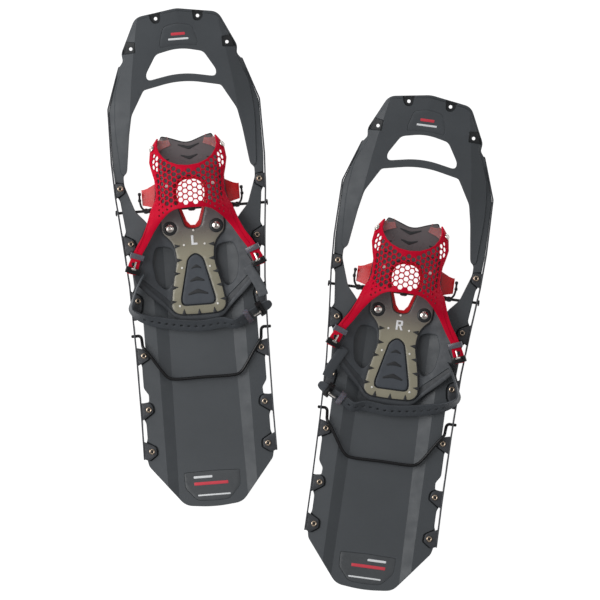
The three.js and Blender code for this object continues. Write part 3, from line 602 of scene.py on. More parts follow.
DECK_RIM = both_halves([
    (0, -1, 24), (37, 3, 9), (80, 57, 3), (82, 67), (82, 86), (79.5, 92, 3), (79.5, 113, 3), (82, 118),
    (82, 139), (74, 140, 2), (73.5, 149, 2), (79.5, 158, 3), (79.5, 188, 3), (82.5, 192), (82.5, 203),
    (73.5, 208, 2), (73.5, 243, 2), (84, 248), (84.5, 282), (81.5, 289, 2), (84, 328, 3), (88.5, 334),
    (90, 355), (87, 361, 2), (91.5, 402, 3), (95, 407), (97.6, 450, 8), (97, 519, 5), (79, 573),
    (73.5, 580, 3), (75, 590, 4), (53.5, 634.5, 9), (0, 642.5, 5),
])
HANDLE = both_halves([
    (0, 560.9, 36), (43.7, 552.5, 6), (45.7, 560.5, 5), (30.5, 585.5, 5), (0, 592.3, 26),
])
FOOT_OPENING = both_halves([
    (0, 341), (45, 341, 6), (59, 371, 5), (72.5, 386, 5), (84.5, 421, 4), (84.5, 433, 3), (79.5, 437, 5),
    (73, 485, 6), (68, 510, 4), (50, 541, 3), (0, 551.4, 46),
])
PLATEAU = both_halves([
    (0, 545, 40), (54, 537, 8), (63, 508, 10), (68, 485, 12), (74.5, 440, 5), (76, 433, 4),
    (88, 434, 6), (91.5, 500, 20), (87, 545, 12), (71, 580, 4), (72, 590, 4), (51.5, 631.5, 8),
    (0, 639.5, 5),
])
LASH_HOLES = [(27, 631), (62, 595)]
LASH_RECESSES = [
    [(19.5, 642), (21, 627, 2), (24, 624.5, 2), (30, 624.5, 2), (34, 629, 2), (37, 641)],
    [(55, 603, 2), (55.5, 589, 2), (74, 588), (70, 607), (62, 604, 3)],
]
NOSE_BADGE = both_halves([(0, 596, 20), (24.5, 593, 3), (25, 600, 6), (19, 620, 5), (0, 624.5, 14)])
TAIL_BADGE = both_halves([(0, 7, 8), (21, 8, 6), (36, 25, 4), (36.5, 45.5, 2.5), (0, 46.5)])
RIVETS = [(75, 76), (75, 130), (76, 200), (78, 271), (81.5, 345), (90, 417)]
TABS = [
    (90, [(70, 82, 2), (69, 78, 2), (69, 71, 2), (79, 64, 2)], 67),
    (139.5, [(72, 138.5, 3), (69.5, 133, 2), (69.5, 126, 2)], 116),
    (211, [(77, 209, 2), (71, 202, 3), (70, 195, 2)], 187),
    (285, [(75, 277, 2), (73, 270, 2), (74.5, 259, 2), (82, 246)], 246),
    (357, [(78, 350, 3), (75.5, 343, 2), (77.5, 336, 2)], 329),
    (424, [(86.5, 424, 2), (84.8, 418, 3), (85.5, 411, 2)], 404),
]


def tab_loop(tab, reach=0.0):
    """A rail tab's outline, or that of the pocket that it sits in, which reaches past it."""
    high, free_edge, low = tab
    inner = [(x - reach, *rest) for x, *rest in free_edge]
    return [(rail_x(high) - 1, high + reach), *inner, (rail_x(low) - 1, low - reach)]


def deck_surface(points, height):
    rise = deck_height(points[:, 0], points[:, 1])
    return np.column_stack([points, DECK_TOP - DECK_THICK + rise + height])


def pocket_loops():
    loops = []
    for tab in TABS:
        pocket = tab_loop(tab, 2.8)
        loops += [outline(side) for side in (pocket, flipped(pocket))]
    return loops


def recess_loops():
    return [outline(side) for corners in LASH_RECESSES for side in (corners, flipped(corners))]


def deck():
    holes = [outline(HANDLE), outline(FOOT_OPENING)]
    drills = [ring(s * x, y, 2.2, count=12) for x, y in LASH_HOLES for s in (-1, 1)]
    steps = [(outline(PLATEAU, 3), 1.6, 0.8), (outline(NOSE_BADGE), -0.6, 0.6),
             (outline(TAIL_BADGE), -0.8, 0.6)]
    steps += [(loop, -2.2, 1.2) for loop in recess_loops()]
    steps += [(loop, -1.9, 1.6) for loop in pocket_loops()]
    folds = []
    for s in (-1, 1):
        folds += [[(s * a, 0), (s * b, 250), (s * b, 338)] for a, b in zip(*CHANNEL_WALL)]
        folds += [[(s * CHANNEL_WALL[1][0], 338), (s * CHANNEL_WALL[1][1], 349)],
                  [(s * x, y) for y, x in SHOULDER_LINE]]
    folds.append([(0, 600), (0, 640)])
    return sheet(outline(DECK_RIM), [*holes, *drills], steps, cell=5.0, edge=0.9, thick=DECK_THICK,
                 surface=deck_surface, creases=folds)


def deck_painted_shade(points):
    """Painted shade: darker in the recesses round the lash holes and in the pockets that the tabs sit
    in.
    """
    flat = points[:, :2]
    shade_and_tone = np.zeros(len(flat))
    for loops, amount in ((recess_loops(), 0.8), (pocket_loops(), 0.5)):
        for loop in loops:
            shade_and_tone = np.maximum(shade_and_tone, amount * smooth(depth_in(flat, loop), 0.2, 1.2))
    return shade_and_tone


# ---- The rails

RAIL_THICK = 2.0
RAIL_BASE = 10.0
TOOTH_PITCH = 30.0


def blade():
    """The rail's blade, drawn as a [y, z] outline and bent along the shoe's side."""
    back, front = 66.0, 574.0
    profile = [(back, 26.4), (back + 4, RAIL_BASE, 2)]
    y = back + 10
    while y + TOOTH_PITCH < front:
        lift = [rocker(y + k) for k in (0, 6, 12, 18)]
        profile += [(y, RAIL_BASE + lift[0], 2), (y + 6, lift[1], 1.2), (y + 12, lift[2], 1.2),
                    (y + 18, RAIL_BASE + lift[3], 2)]
        y += TOOTH_PITCH
    top = [(front, 22.4), (560, 28.4), (540, 28.4), (515, 28.4), (473, 28.4), (452, 28.4), (422, 30.4)]
    profile.append((front - 4, 14.0 + rocker(front)))
    profile += [(at, z + deck_height(rail_x(at), at) + (1.5 if at > 430 else 1.6)) for at, z in top]
    profile.append((back + 4, RAIL_TOP, 2))
    holes = [ring(*PIVOT[1:], 2.9), ring(*LIFT_SEAT, 2.7)]

    def bent(points, height):
        y = points[:, 0]
        return np.column_stack([rail_x(y) - RAIL_THICK + height, y, points[:, 1]])

    return sheet(outline(profile, 3), holes, cell=7.0, edge=0.45, thick=RAIL_THICK, surface=bent,
                 under=1.0)


def rail():
    def leaning(points, height):
        inward = rail_x(points[:, 1]) - points[:, 0]
        return np.column_stack([points, RAIL_TOP - 3.2 + height + 0.05 * inward])
    tabs = [sheet(outline(tab_loop(tab)), cell=4.0, edge=0.6, thick=2.2, surface=leaning)
            for tab in TABS]
    return merged(blade(), *tabs)


def deck_rivets():
    head = [(0.0, -3.0), (2.0, -3.0), (3.6, -0.6), (3.8, 0.0), (3.7, 0.7), (3.2, 1.3), (2.6, 1.45),
            (2.1, 1.2), (1.9, 0.3), (0.0, 0.3)]
    return merged(*[turned(head, (x, y, RAIL_TOP + 0.4), UP) for x, y in RIVETS])


def deck_rivet_cores():
    core = [(0.0, 0.0), (1.8, 0.0), (1.8, 0.5), (1.2, 0.75), (0.9, 0.45), (0.0, 0.35)]
    return merged(*[turned(core, (x, y, RAIL_TOP + 0.6), UP, 16) for x, y in RIVETS])


# ---- The binding's plates

def keyhole(grow):
    return both_halves([
        (0, 361 - grow, 3), (8 + grow, 363 - grow, 5), (15.5 + grow, 387), (20 + grow, 398, 6),
        (20 + grow, 414, 8), (13 + grow, 424 + grow, 8), (0, 426 + grow, 6),
    ])


PIVOT_RIVET = (30.0, 361.0)
TOE_RIVET = (30.0, 417.0)
WING_LIFT = 13.0
LEAF_WINDOW = [
    (37, 338.5, 5), (28, 335, 5), (25.8, 318, 8), (29.5, 294, 8), (39, 281, 6), (52, 292, 8),
    (56, 320, 8), (50, 338.5, 5),
]
HARNESS_RIM = both_halves([
    (0, 239, 16), (30, 243, 8), (44, 259, 6), (62, 275, 8), (78, 292, 6), (83.5, 312, 8), (80, 328, 6),
    (72, 346, 8), (60, 368, 8), (50, 386, 8), (46, 404, 6), (44.5, 436, 4), (0, 438),
])


def rivet_holes(radius, count=16):
    return [ring(s * PIVOT_RIVET[0], PIVOT_RIVET[1], radius, count=count) for s in (-1, 1)]


def harness_surface(points, height):
    lift = WING_LIFT * np.clip((np.abs(points[:, 0]) - 40.0) / 44.0, 0, 1)
    return np.column_stack([points, HARNESS_BOTTOM + lift + height])


HARNESS_CUTS = [
    [(30, 249, 4), (42, 263, 5), (60, 281, 6), (74, 295, 4), (70, 299, 4), (56, 286, 6), (38, 270, 5),
     (27, 255, 3)],
    [(66, 322, 3), (75, 306, 2), (78, 314, 2), (72, 330, 2)],
]


def cut_loops():
    return [outline(side) for corners in HARNESS_CUTS for side in (corners, flipped(corners))]


def harness():
    leaf = outline(LEAF_WINDOW)
    holes = [leaf, outline(flipped(LEAF_WINDOW)), outline(keyhole(2.4)), *rivet_holes(3.4)]
    steps = [(loop, -0.9, 1.0) for loop in cut_loops()]
    return sheet(outline(HARNESS_RIM), holes, steps, cell=4.0, edge=0.9, thick=HARNESS_THICK,
                 surface=harness_surface)


def harness_shade_and_dark_rim(points):
    """Painted shade where its top is cut away, and darker along its rim."""
    flat = points[:, :2]
    shade_and_tone = 0.6 * (1 - smooth(distance(flat, [outline(HARNESS_RIM)]), 0.4, 2.2))
    for loop in cut_loops():
        shade_and_tone = np.maximum(shade_and_tone, 0.45 * smooth(depth_in(flat, loop), 0.1, 1.0))
    return shade_and_tone


FOOTBED_RIM = both_halves([
    (0, 247.5, 10), (28, 248.5, 8), (36.7, 257, 7), (33, 284, 8), (24.6, 320, 10), (27, 338, 6),
    (33, 347, 5), (41, 354, 7), (42, 370, 6), (38, 384, 6), (38, 452, 6), (39.5, 464, 3), (33, 481, 3),
    (23, 478.5, 4), (0, 470, 9),
])
HEEL_WINDOW = both_halves([(0, 261, 6), (20.5, 261, 6), (22, 268, 4), (9.5, 321, 5), (0, 327.5, 5)])
GRIP_TEETH = [
    (25.6, 337.5, -8, 0.5), (24.6, 319.5, -8, 0), (28.9, 302.5, -8.5, 0), (32.6, 284.5, -8.5, 0.5),
    (36.0, 266, -8.5, 0.5), (20, 248.8, -0.6, 8), (-20, 248.8, 0.6, 8), (0, 248.3, 0, 7.5),
]
# The heel pad's chevron ribs are real, but their black colour is painted shade that stands for the dark
# shadows under them.
HEEL_CHEVRONS = [(0, 313, 6.5, -4.5, -4), (0, 297.5, 9.5, -5, -5.5), (0, 281.5, 13, -6, -6)]
PINS = [(13.4, 338.6), (18, 309.3), (24.4, 260.4)]


def grip_teeth():
    """Black triangles that point into the smoky plate from its border."""
    teeth = []
    for x, y, dx, dy in GRIP_TEETH:
        base, reach = np.array([x, y], float), np.array([dx, dy], float)
        side = unit(np.array([-dy, dx], float)) * 2.9
        corners = [tuple(base + side), tuple(base - side), (*(base + reach), 0.8)]
        for drawn in (corners, flipped(corners)[::-1]) if dx < -5 else (corners,):
            teeth.append(sheet(outline(drawn, 1.5), cell=2.5, edge=0.4, thick=1.0,
                               base=FOOTBED_TOP + 0.1))
    return merged(*teeth)


def pins():
    cap = [(0, 0), (1.5, 0), (1.5, 0.5), (1.1, 0.9), (0, 1.0)]
    places = [(s * x, y) for x, y in PINS for s in (-1, 1)] + [(0, 357)]
    return merged(*[turned(cap, (x, y, FOOTBED_TOP + 0.35), UP, 14) for x, y in places])


def toe_rivet():
    head = [(0, 0), (2.9, 0), (2.8, 0.7), (2.0, 1.2), (1.2, 1.0), (0, 1.0)]
    return turned(head, (*TOE_RIVET, FOOTBED_TOP + 0.35), UP, 20)


def footbed_border():
    holes = [outline(keyhole(1.6)), outline(HEEL_WINDOW), *rivet_holes(3.4)]
    return sheet(outline(FOOTBED_RIM), holes, cell=5.0, edge=0.8, thick=2.3, base=FOOTBED_BOTTOM)


def footbed_plate():
    holes = [offset(outline(keyhole(1.6)), -1.3), offset(outline(HEEL_WINDOW), -1.2)]
    holes += rivet_holes(8.4, 28)
    return sheet(offset(outline(FOOTBED_RIM), 1.5), holes, cell=4.0, edge=0.35, thick=0.65,
                 base=FOOTBED_TOP - 0.2)


def plate_tone(points):
    """The smoky plate is olive at the heel and greyer and darker towards the toe."""
    return smooth(points[:, 1], 322.0, 378.0)


def chevron(x, y, half, drop, width):
    """A bar bent to a point at (x, y), its ends drop further along and width wide in the middle."""
    return [(x, y, 2), (x + half, y + drop, 1), (x + half, y + drop + 0.35 * width, 1),
            (x, y + width, 3), (x - half, y + drop + 0.35 * width, 1), (x - half, y + drop, 1)]


def chevrons(places, base):
    return merged(*[sheet(outline(chevron(*place), 1.5), cell=2.5, edge=0.4, thick=0.7, base=base)
                    for place in places])


def side_letter(side):
    """A generic L or R on the heel plate, drawn so that it reads from the heel."""
    z = FOOTBED_TOP + 0.5
    if side == "left":
        return sheet(outline([(-3.6, 338), (4.2, 338), (4.2, 340.6), (-0.6, 340.6), (-0.6, 350.5),
                              (-3.6, 350.5)], 1.5), cell=3.0, edge=0.2, thick=0.35, base=z)
    rim = [(4.4, 338), (4.4, 350.5), (-1.0, 350.5, 2), (-4.4, 350.4, 2.5), (-4.6, 344.2, 2.5),
           (-2.2, 343.6, 0.8), (-5.0, 338), (-1.9, 338), (0.2, 343), (1.6, 343), (1.6, 338)]
    eye = [(1.6, 348.4), (1.6, 345.2), (-1.6, 345.2, 1.2), (-1.8, 348.4, 1.2)]
    return sheet(outline(rim, 1.2), [outline(eye, 1.0)], cell=3.0, edge=0.2, thick=0.35, base=z)


SNAP_AT = (0.9, 0.93)


def toe_tab():
    """The clear tab that comes up from the footbed's toe corner to the snap, on the right side."""
    seat, axis = arch_point(*SNAP_AT), arch_normal(*SNAP_AT)
    ahead = unit(arch_point(SNAP_AT[0], SNAP_AT[1] + 0.05) - seat)
    down = -np.cross(axis, ahead)
    inner = seat - axis * 4.0
    curve = [inner - down * 4, inner, inner + down * 3, (34, seat[1] + 4, FOOTBED_TOP + 1.2),
             (28, seat[1] + 6, FOOTBED_TOP + 0.8), (22, seat[1] + 8, FOOTBED_TOP + 0.6)]
    follow, length = ribbon(curve, lambda t: ahead)
    loop = [(0, -5.5, 2), (length, -4.5, 1), (length, 8.0, 1), (0, 6.5, 2)]
    return sheet(outline(loop), cell=3.0, edge=0.4, thick=1.2, surface=follow, base=-0.6)


def heel_pad():
    inset = [(x * 0.96, 294 + (y - 294) * 0.985, *r) for x, y, *r in HEEL_WINDOW]
    return sheet(outline(inset), cell=3.0, edge=0.9, thick=3.2, base=FOOTBED_BOTTOM)


def pivot_boss():
    profile = [(0, 0), (9.3, 0), (9.3, 0.8), (8.6, 1.5), (6.6, 1.9), (6.0, 1.5), (0, 1.4)]
    return turned(profile, (*PIVOT_RIVET, FOOTBED_TOP - 0.4), UP, 36)


def pivot_rivet():
    profile = [(0, 0), (3, 0), (3, 7.5), (4.9, 7.6), (5.3, 8.2), (5.0, 9.0), (3.9, 9.6), (2.6, 9.8),
               (2.2, 9.4), (1.4, 9.3), (0, 9.5)]
    return turned(profile, (*PIVOT_RIVET, FOOTBED_TOP - 6.4), UP, 32)


# ---- The toe strap

ARCH_LINE = np.array([
    (285, 99), (303, 93), (319, 87), (334, 79.5), (343.5, 72.5), (353, 66), (367, 59), (386, 52),
    (397, 46), (406, 43.5), (425, 44.5), (435, 47), (447, 49.5), (460, 47.5), (470, 43), (479, 36),
])
ARCH_BACK = 387.0
ARCH_FRONT = (441.0, 477.0)
PITCH = 7.4  # of the mesh's cells
OPEN_MIDDLE = (404.0, 20.5)  # the y of the middle of the part with the most open cells, and its radius
LEG_START = 24.0  # how far across the legs begin, where the cells are small
LEG_END = 46.0  # and how far across the cells end
SNAP_ROOM = 8.5
STRAP_GROOVE = [(47, 379, 2), (56.5, 359.5), (66.5, 341), (72, 333, 2), (74.5, 335, 2), (68.5, 345),
                (60.5, 361), (50, 384, 2)]
DENSE_Y = np.linspace(285, 495, 211)
DENSE_HALF = np.convolve(
    np.pad(np.interp(DENSE_Y, ARCH_LINE[:, 0], ARCH_LINE[:, 1]), 4, mode="edge"),
    np.hanning(11)[1:-1] / np.hanning(11).sum(), mode="valid")
TOE_STRAP = both_halves([
    (0, 386.5), (20, 385.5, 5), (29, 381.5, 5), (40, 371.5), (50, 358.5), (60, 342), (67.5, 331),
    (74.5, 311), (77, 304, 2), (90, 308, 2), (86.5, 319), (78.5, 334), (72.5, 343.5), (66, 353),
    (59, 367), (52, 386), (46, 397), (43.5, 406), (44, 417), (44.5, 425), (47, 435), (49.5, 447),
    (47.5, 460), (43, 470, 3), (36.5, 478.5, 2), (38, 474), (38.5, 467), (36.5, 460), (31, 452),
    (24, 446.5), (13, 442), (0, 440.5),
])


def arch_shape(y):
    """The strap's cross-section at y: the radius that its width bends by, how far its sides lean, their
    height, and how far its middle stands over them."""
    turn = smooth(y, 442.0, 468.0)
    half = np.interp(y, DENSE_Y, DENSE_HALF)
    sweep = np.radians(58.0 + 26.0 * turn)
    base = 49.0 - 11.0 * turn + 3.0 * ramp(y, 318.0, 345.0) * (1 - ramp(y, 375.0, 390.0))
    crown = 82.0 - 30.0 * (np.clip(y - ARCH_BACK, 0, None) / 90.0) ** 1.5
    crown -= 30.0 * smooth(-y, -388.0, -350.0)
    return half / np.sin(sweep), sweep, base, np.clip(crown - base, 0.0, None)


def arch_surface(points, height):
    """Sets a flat point (distance across, y) on the strap's arch, at that height over it."""
    def middle(u, y):
        radius, sweep, base, rise = arch_shape(y)
        lift = (np.cos(u / radius) - np.cos(sweep)) / (1 - np.cos(sweep))
        return np.stack([radius * np.sin(u / radius), y, base + rise * lift], axis=-1)
    u, y = points[:, 0], points[:, 1]
    side = middle(u + 0.5, y) - middle(u - 0.5, y)
    ahead = middle(u, y + 0.5) - middle(u, y - 0.5)
    return middle(u, y) + unit(np.cross(side, ahead)) * np.asarray(height)[..., None]


def arch_spread(points):
    """Where points of the strap, seen from above, lie when it is spread flat."""
    radius = arch_shape(points[:, 1])[0]
    sine = np.clip(points[:, 0] / radius, -0.998, 0.998)
    return np.column_stack([radius * np.arcsin(sine), points[:, 1]])


def arch_flat(across, ahead):
    front = ARCH_FRONT[0] + (ARCH_FRONT[1] - ARCH_FRONT[0]) * across ** 2
    y = np.array([ARCH_BACK + (front - ARCH_BACK) * ahead])
    radius, sweep, _, _ = arch_shape(y)
    return np.column_stack([radius * sweep * across, y])


def arch_point(across, ahead):
    return arch_surface(arch_flat(across, ahead), np.zeros(1))[0]


def arch_normal(across, ahead):
    flat = arch_flat(across, ahead)
    return unit(arch_surface(flat, np.ones(1)) - arch_surface(flat, np.zeros(1)))[0]


def cell_hole(u, y, size, squareness):
    """One cell of the mesh: between a circle and a hexagon with flats at its top and bottom."""
    angles = np.linspace(0, 2 * math.pi, 18, endpoint=False)
    hexagon = 1.0 / np.cos((angles + math.pi / 2 + math.pi / 6) % (math.pi / 3) - math.pi / 6)
    radius = size * ((1 - squareness) + squareness * np.minimum(hexagon, 1.1))
    return np.stack([u + radius * np.cos(angles), y + radius * np.sin(angles)], axis=1)


def toe_panel():
    rim = arch_spread(refine(outline(TOE_STRAP), 2.0))
    snap = arch_flat(*SNAP_AT)[0]
    holes = []
    for column in range(-10, 11):
        u = column * PITCH * math.sqrt(3) / 2
        for row in range(-6, 13):
            y = 396.6 + (row + (0.5 if column % 2 else 0.0)) * PITCH
            centre = np.array([[u, y]])
            if not inside(centre, rim)[0] or np.hypot(abs(u) - snap[0], y - snap[1]) < SNAP_ROOM:
                continue
            room = distance(centre, [rim])[0]
            open_middle = math.hypot(u, y - OPEN_MIDDLE[0]) < OPEN_MIDDLE[1]
            past_leg = abs(u) - LEG_START
            near_leg = past_leg > 0 and y < ARCH_BACK + 2 + 0.4 * past_leg
            if near_leg and abs(u) > LEG_END:
                continue
            size = 3.05 if open_middle else 1.3 if near_leg else 2.95
            if room > size + 1.3:
                holes.append(cell_hole(u, y, size, 1.0 if open_middle else 0.5))
    grooves = []
    for s in (-1, 1):
        holes.append(arch_spread(ring(s * 79.5, 318, 3.6, 2.6, turn=s * 1.1)))
        drawn = STRAP_GROOVE if s > 0 else flipped(STRAP_GROOVE)[::-1]
        grooves.append((arch_spread(outline(drawn)), -0.7, 0.9))
    return sheet(rim, holes, grooves, cell=3.4, edge=0.45, thick=STRAP_THICK, surface=arch_surface,
                 base=-STRAP_THICK / 2, under=1.0)


# ---- Buckles and the straps that run through them

# The heel buckle's middle, and the directions along its strap and across it.
HEEL_AT = np.array([79, 249.5, 43])
HEEL_ALONG = unit(np.array([0.89, 0.45, 0.02]))
HEEL_ACROSS = unit(np.cross([0.31, -0.61, 0.715], HEEL_ALONG))
HEEL_STRAP_WIDTH = 16.0


def blend(a, b, t):
    return (1 - t) * np.asarray(a, float) + t * np.asarray(b, float)


def heel_strap():
    curve = [(-68, 305, 46.5), (-76, 291, 48.5), (-84, 273, 47), (-87, 260, 43), (-76, 249.5, 40.5),
             (-45, 240, 40), (0, 233.5, 40), (30, 235.5, 41)]
    curve += [HEEL_AT + HEEL_ALONG * u for u in (-38, -28, -18, -6, 6, 16)]
    path, _ = spline(curve)

    def across(t):
        at = path[min(int(t * (len(path) - 1)), len(path) - 1)]
        inward = unit(np.array([0 - at[0], 320 - at[1]])) * 0.85
        lying = blend([*inward, 0.52], HEEL_ACROSS, float(smooth(t, 0.7, 0.82)))
        return blend([0.16, 0.1, 1.0], lying, float(smooth(t, 0.12, 0.4)))

    follow, length = ribbon(curve, across)
    half = HEEL_STRAP_WIDTH / 2
    rim = [(0, -half, 3), (length - 6, -half, 3), (length, -4, 3), (length, 4, 3), (length - 6, half, 3),
           (0, half, 3)]
    holes = [ring(s, -0.5, 1.9, 1.3, count=12) for s in np.arange(72, length - 22, 9.5)]
    groove = [(66, -half + 2, 1), (length - 30, -half + 2, 1), (length - 30, half - 2, 1),
              (66, half - 2, 1)]
    return sheet(outline(rim), holes, [(outline(groove), -0.5, 0.7)], cell=3.5, edge=0.6,
                 thick=STRAP_THICK, surface=lambda p, h: follow(p, -np.asarray(h)),
                 base=-STRAP_THICK / 2, under=1.0)


def heel_tab():
    curve = [(66, 306, 42.5), (74, 291, 44), (81, 276, 46), (84, 266, 47.5)]
    follow, length = ribbon(curve, lambda t: (0.9, 0.42, 0.2))
    rim = [(0, -6.5, 3), (length, -6.5, 1), (length, 6.5, 1), (0, 6.5, 3)]
    return sheet(outline(rim), cell=3.0, edge=0.6, thick=STRAP_THICK, surface=follow,
                 base=-STRAP_THICK / 2, under=1.0)


def heel_lift_path():
    reach = float(rail_x(LIFT_SEAT[0])) + 2.5
    half = [(x, *LIFT_SEAT) for x in (reach, reach - 5, 80.5)]
    half += [(78, 224, 23.9), (77, 218, 28), (76, 211, 34), (69, 201, 34), (51, 174, 32),
             (47, 170, 31.6), (42, 167.5, 31.6)]
    return [*half, (0, 167, 31.6), *[(-x, y, z) for x, y, z in reversed(half)]]


def axle():
    y, z = PIVOT[1:]
    reach = float(rail_x(y)) + 0.4
    shaft = tube([(-reach - 1, y, z), (-reach / 2, y, z), (reach / 2, y, z), (reach + 1, y, z)], 1.8, 60)
    head = [(0, 0), (3.4, 0), (3.9, 0.5), (3.8, 1.3), (3.0, 2.0), (0, 2.2)]
    ends = [turned(head, (s * reach, y, z), (s, 0, 0)) for s in (-1, 1)]
    bump = [(1.7, 0), (3.2, 0.8), (3.9, 2.8), (3.9, 7.2), (3.2, 9.2), (1.7, 10)]
    return merged(shaft, *ends, turned(bump, (-5, y, z), (1, 0, 0)))


def sleeve():
    y, z = PIVOT[1:]
    profile = [(2.0, 0), (3.2, 0), (3.6, 0.5), (3.6, 5), (3.0, 5.6), (3.0, 8), (3.6, 8.6), (3.6, 13),
               (3.0, 13.6), (3.0, 16), (3.6, 16.6), (3.4, 19.5), (2.6, 21), (2.0, 21)]
    return turned(profile, (41, y, z), (1, 0, 0), 24)


def bumper():
    y, z = PIVOT[1:]
    wire = tube([(55, y - 0.5, z + 5.2), (60, y + 0.5, z + 5.4), (64.2, y + 5, 25.2),
                 (66.0, y + 13, 27.5), (65.8, y + 23, 31)], 1.35, 60)
    knob = [(0.8, -2.2), (1.9, -1.6), (2.2, 0), (1.9, 1.6), (0.8, 2.2)]
    return merged(wire, turned(knob, (66.2, y + 14, 27.8), (0, 0.95, 0.3), 16),
                  turned(knob, (65.8, y + 22, 30.8), (0, 0.95, 0.3), 16))


def droop(point):
    """The crampon's wings slope down to their ends."""
    x, y, z = point
    reach = max(0.0, abs(x) - 42.0) * (1.0 if 388.0 < y < 430.0 else 0.0)
    return Vector((x, y, z - 0.2 * reach * float(smooth(z, 18.0, 25.0))))


def toe_snap():
    base, axis = arch_point(*SNAP_AT), arch_normal(*SNAP_AT)
    profile = [(0, -5.6), (1.6, -5.6), (1.6, 1.2), (3.9, 1.3), (4.5, 1.8), (4.4, 2.6), (3.6, 3.2),
               (2.6, 3.4), (2.1, 2.9), (1.2, 2.8), (0, 3.0)]
    return turned(profile, base, axis)


# ---- The badges

def bar(sides, base):
    x0, x1, y0, y1 = sides
    loop = outline([(x0, y0, 0.8), (x1, y0, 0.8), (x1, y1, 0.8), (x0, y1, 0.8)], 2.0)
    return sheet(loop, cell=4.0, edge=0.1, thick=0.25, surface=deck_surface, base=base)


def badge_plate(corners, base):
    shrunk = offset(outline(corners), 0.7)
    return sheet(shrunk, cell=4.0, edge=0.25, thick=0.5, surface=deck_surface, base=base)


# ---- Putting it together

# The deck carries painted shade in its recesses and tab pockets.
put_both("deck", deck(), "frame", M["deck"], ["deck"], sharp=17.0, shade_and_tone=deck_painted_shade)
put_pair("rail", rail(), "frame", M["rail"], "rail")
put_pair("deck_rivets", deck_rivets(), "frame", M["brass"])
put_pair("deck_rivet_cores", deck_rivet_cores(), "frame", M["black"])
put_both("axle", axle(), "frame", M["black"], ["axle"])
put_both("heel_lift", tube(heel_lift_path(), 2.0, 260), "heel_lift", M["wire"],
         ["heel_lift"])
for name, corners, lift, look in (
        ("nose", NOSE_BADGE, 0.8, "deck"), ("tail", TAIL_BADGE, -0.9, "badge")):
    put_both(f"{name}_badge", badge_plate(corners, DECK_THICK + lift), "frame", M[look])
for name, sides, lift, colour in (  # the bar's sides, and its height over the deck
        ("nose_mark_red", (-9, 9, 608, 611.5), 1.25, "red"),
        ("nose_mark_white", (-13, 13, 602, 604.5), 1.25, "white"),
        ("tail_mark_white", (-24, 0, 37, 40), -0.45, "white"),
        ("tail_mark_red", (-24, 20, 28, 32), -0.45, "red"),
        ("tail_mark_base", (-20, 22, 14, 16), -0.45, "white")):
    put_both(name, bar(sides, DECK_THICK + lift), "frame",
             M[f"print_{colour}"])

put_pair("axle_sleeve", sleeve(), "binding", M["black"], "axle_sleeve")
put_pair("wing_bumper", bumper(), "binding", M["black"], "wing_bumper")
# The harness carries painted shade in its cut-away recesses, and a darker rim.
put_both("harness", harness(), "binding", M["harness"], ["harness"],
         shade_and_tone=harness_shade_and_dark_rim)
put_both("footbed_border", footbed_border(), "binding", M["frame_rubber"],
         ["footbed"])
put_both("footbed_plate", footbed_plate(), "binding", M["smoke"], shade_and_tone=plate_tone)
put_both("grip_teeth", grip_teeth(), "binding", M["frame_rubber"])
put_both("footbed_pins", pins(), "binding", M["pin"])
put_pair("toe_rivet", toe_rivet(), "binding", M["pin"])
for name, places, lift in (
        ("toe_chevrons", [(2, 461, 14, 6.5, 4.5), (2, 448, 11, 5.5, 4.5)], 0.35),
        ("toe_marks", [(s * 29, y, 5, 3, 3.5) for y in (433, 447) for s in (-1, 1)], 0.3)):
    put_both(name, chevrons(places, FOOTBED_TOP + lift), "binding",
             M["frame_rubber"])
put_pair("toe_tab", toe_tab(), "binding", M["clear_red"])
for side in SIDES:
    put(side, "side_letter", side_letter(side), "binding", M["print_white"])
put_both("heel_pad", heel_pad(), "binding", M["pad"], ["heel_pad"])
# The heel chevrons are raised ribs whose black colour is painted shade.
put_both("heel_chevrons", chevrons(HEEL_CHEVRONS, FOOTBED_TOP + 0.7), "binding",
         M["frame_rubber"])
put_pair("pivot_boss", pivot_boss(), "binding", M["frame_rubber"])
put_pair("pivot_rivet", pivot_rivet(), "binding", M["bright"], "pivot_rivet")
put_both("toe_panel", toe_panel(), "binding", M["strap"], ["toe_strap"])
put_pair("toe_snap", toe_snap(), "binding", M["bright"], "toe_snap")
put_both("heel_strap", heel_strap(), "binding", M["harness"], ["heel_strap"])
put_both("heel_tab", heel_tab(), "binding", M["harness"], ["heel_tab"])

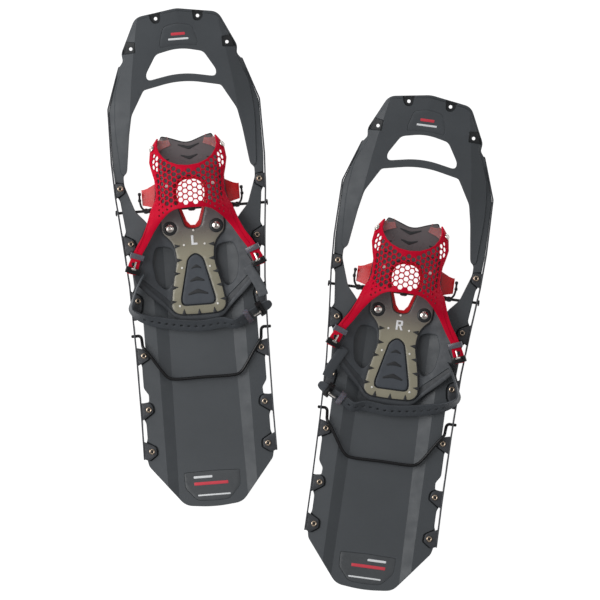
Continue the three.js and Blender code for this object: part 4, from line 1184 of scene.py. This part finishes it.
for side in SIDES:
    binding = f"{side}_binding"
    soften(f"{side}_crampon", binding, M["red_steel"], 0.5, droop)
    soften(f"{side}_heel_buckle", binding, M["wire"])
    soften(f"{side}_heel_keeper", f"{side}_heel_keeper", M["keeper"])
    soften(f"{side}_heel_prong", f"{side}_heel_prong", M["bright"], 0.3)
    for hand in ("inner", "outer"):
        keeper, prong = (f"{side}_instep_{kind}_{hand}" for kind in ("keeper", "prong"))
        soften(f"{side}_instep_buckle_{hand}", binding, M["wire"])
        soften(keeper, keeper, M["keeper"], 0.3)
        soften(prong, prong, M["bright"], 0.3)


# ---- The floor, the lights and the camera

def studio():
    """A white floor, two soft side lights and one at the toes, and a far camera right above."""
    floor_mesh = bpy.data.meshes.new("floor")
    reach = 4.0  # half the floor's side, so that it fills the picture from every side
    corners = [(-reach, -reach, 0), (reach, -reach, 0), (reach, reach, 0), (-reach, reach, 0)]
    floor_mesh.from_pydata(corners, [], [(0, 1, 2, 3)])
    paper = build_material("floor_paper", (0.2, 0.2, 0.2), 0.9, grain=(300, 0.02), mottle=(2, 0.005))
    shader = paper.node_tree.nodes["Principled BSDF"]
    shader.inputs["Emission Color"].default_value = (1, 1, 1, 1)
    shader.inputs["Emission Strength"].default_value = 0.97
    floor_mesh.materials.append(paper)
    linked("floor", floor_mesh)

    def panel(name, at, size, power, aim=(0, 0, 0)):
        light = bpy.data.lights.new(name, "AREA")
        light.shape = "RECTANGLE"
        light.size, light.size_y = size
        light.energy = power
        holder = linked(name, light)
        holder.location = at
        holder.rotation_euler = (Vector(aim) - Vector(at)).to_track_quat("-Z", "Y").to_euler()

    panel("key_left", (-1.5, 0.2, 1.5), (1.2, 2.2), 33)
    panel("fill_right", (1.6, 0.0, 1.8), (1.2, 2.2), 4)
    panel("top_toe", (0.0, 1.8, 1.6), (2.0, 1.0), 5)

    world = bpy.data.worlds.new("studio")
    world.use_nodes = True
    world.node_tree.nodes["Background"].inputs["Color"].default_value = (1, 1, 1, 1)
    world.node_tree.nodes["Background"].inputs["Strength"].default_value = 0.24
    bpy.context.scene.world = world

    camera_height = 12.0
    plane = DECK_TOP * MM
    frame_width = 0.774  # what the picture spans at the height of the decks
    centre = (-0.00054, 0.00042)
    camera = bpy.data.cameras.new("camera")
    camera.sensor_width = 36
    camera.lens = 36 * (camera_height - plane) / frame_width
    holder = linked("camera", camera)
    holder.location = (*centre, camera_height)
    bpy.context.scene.camera = holder
    bpy.context.scene.view_settings.view_transform = "Standard"


studio()
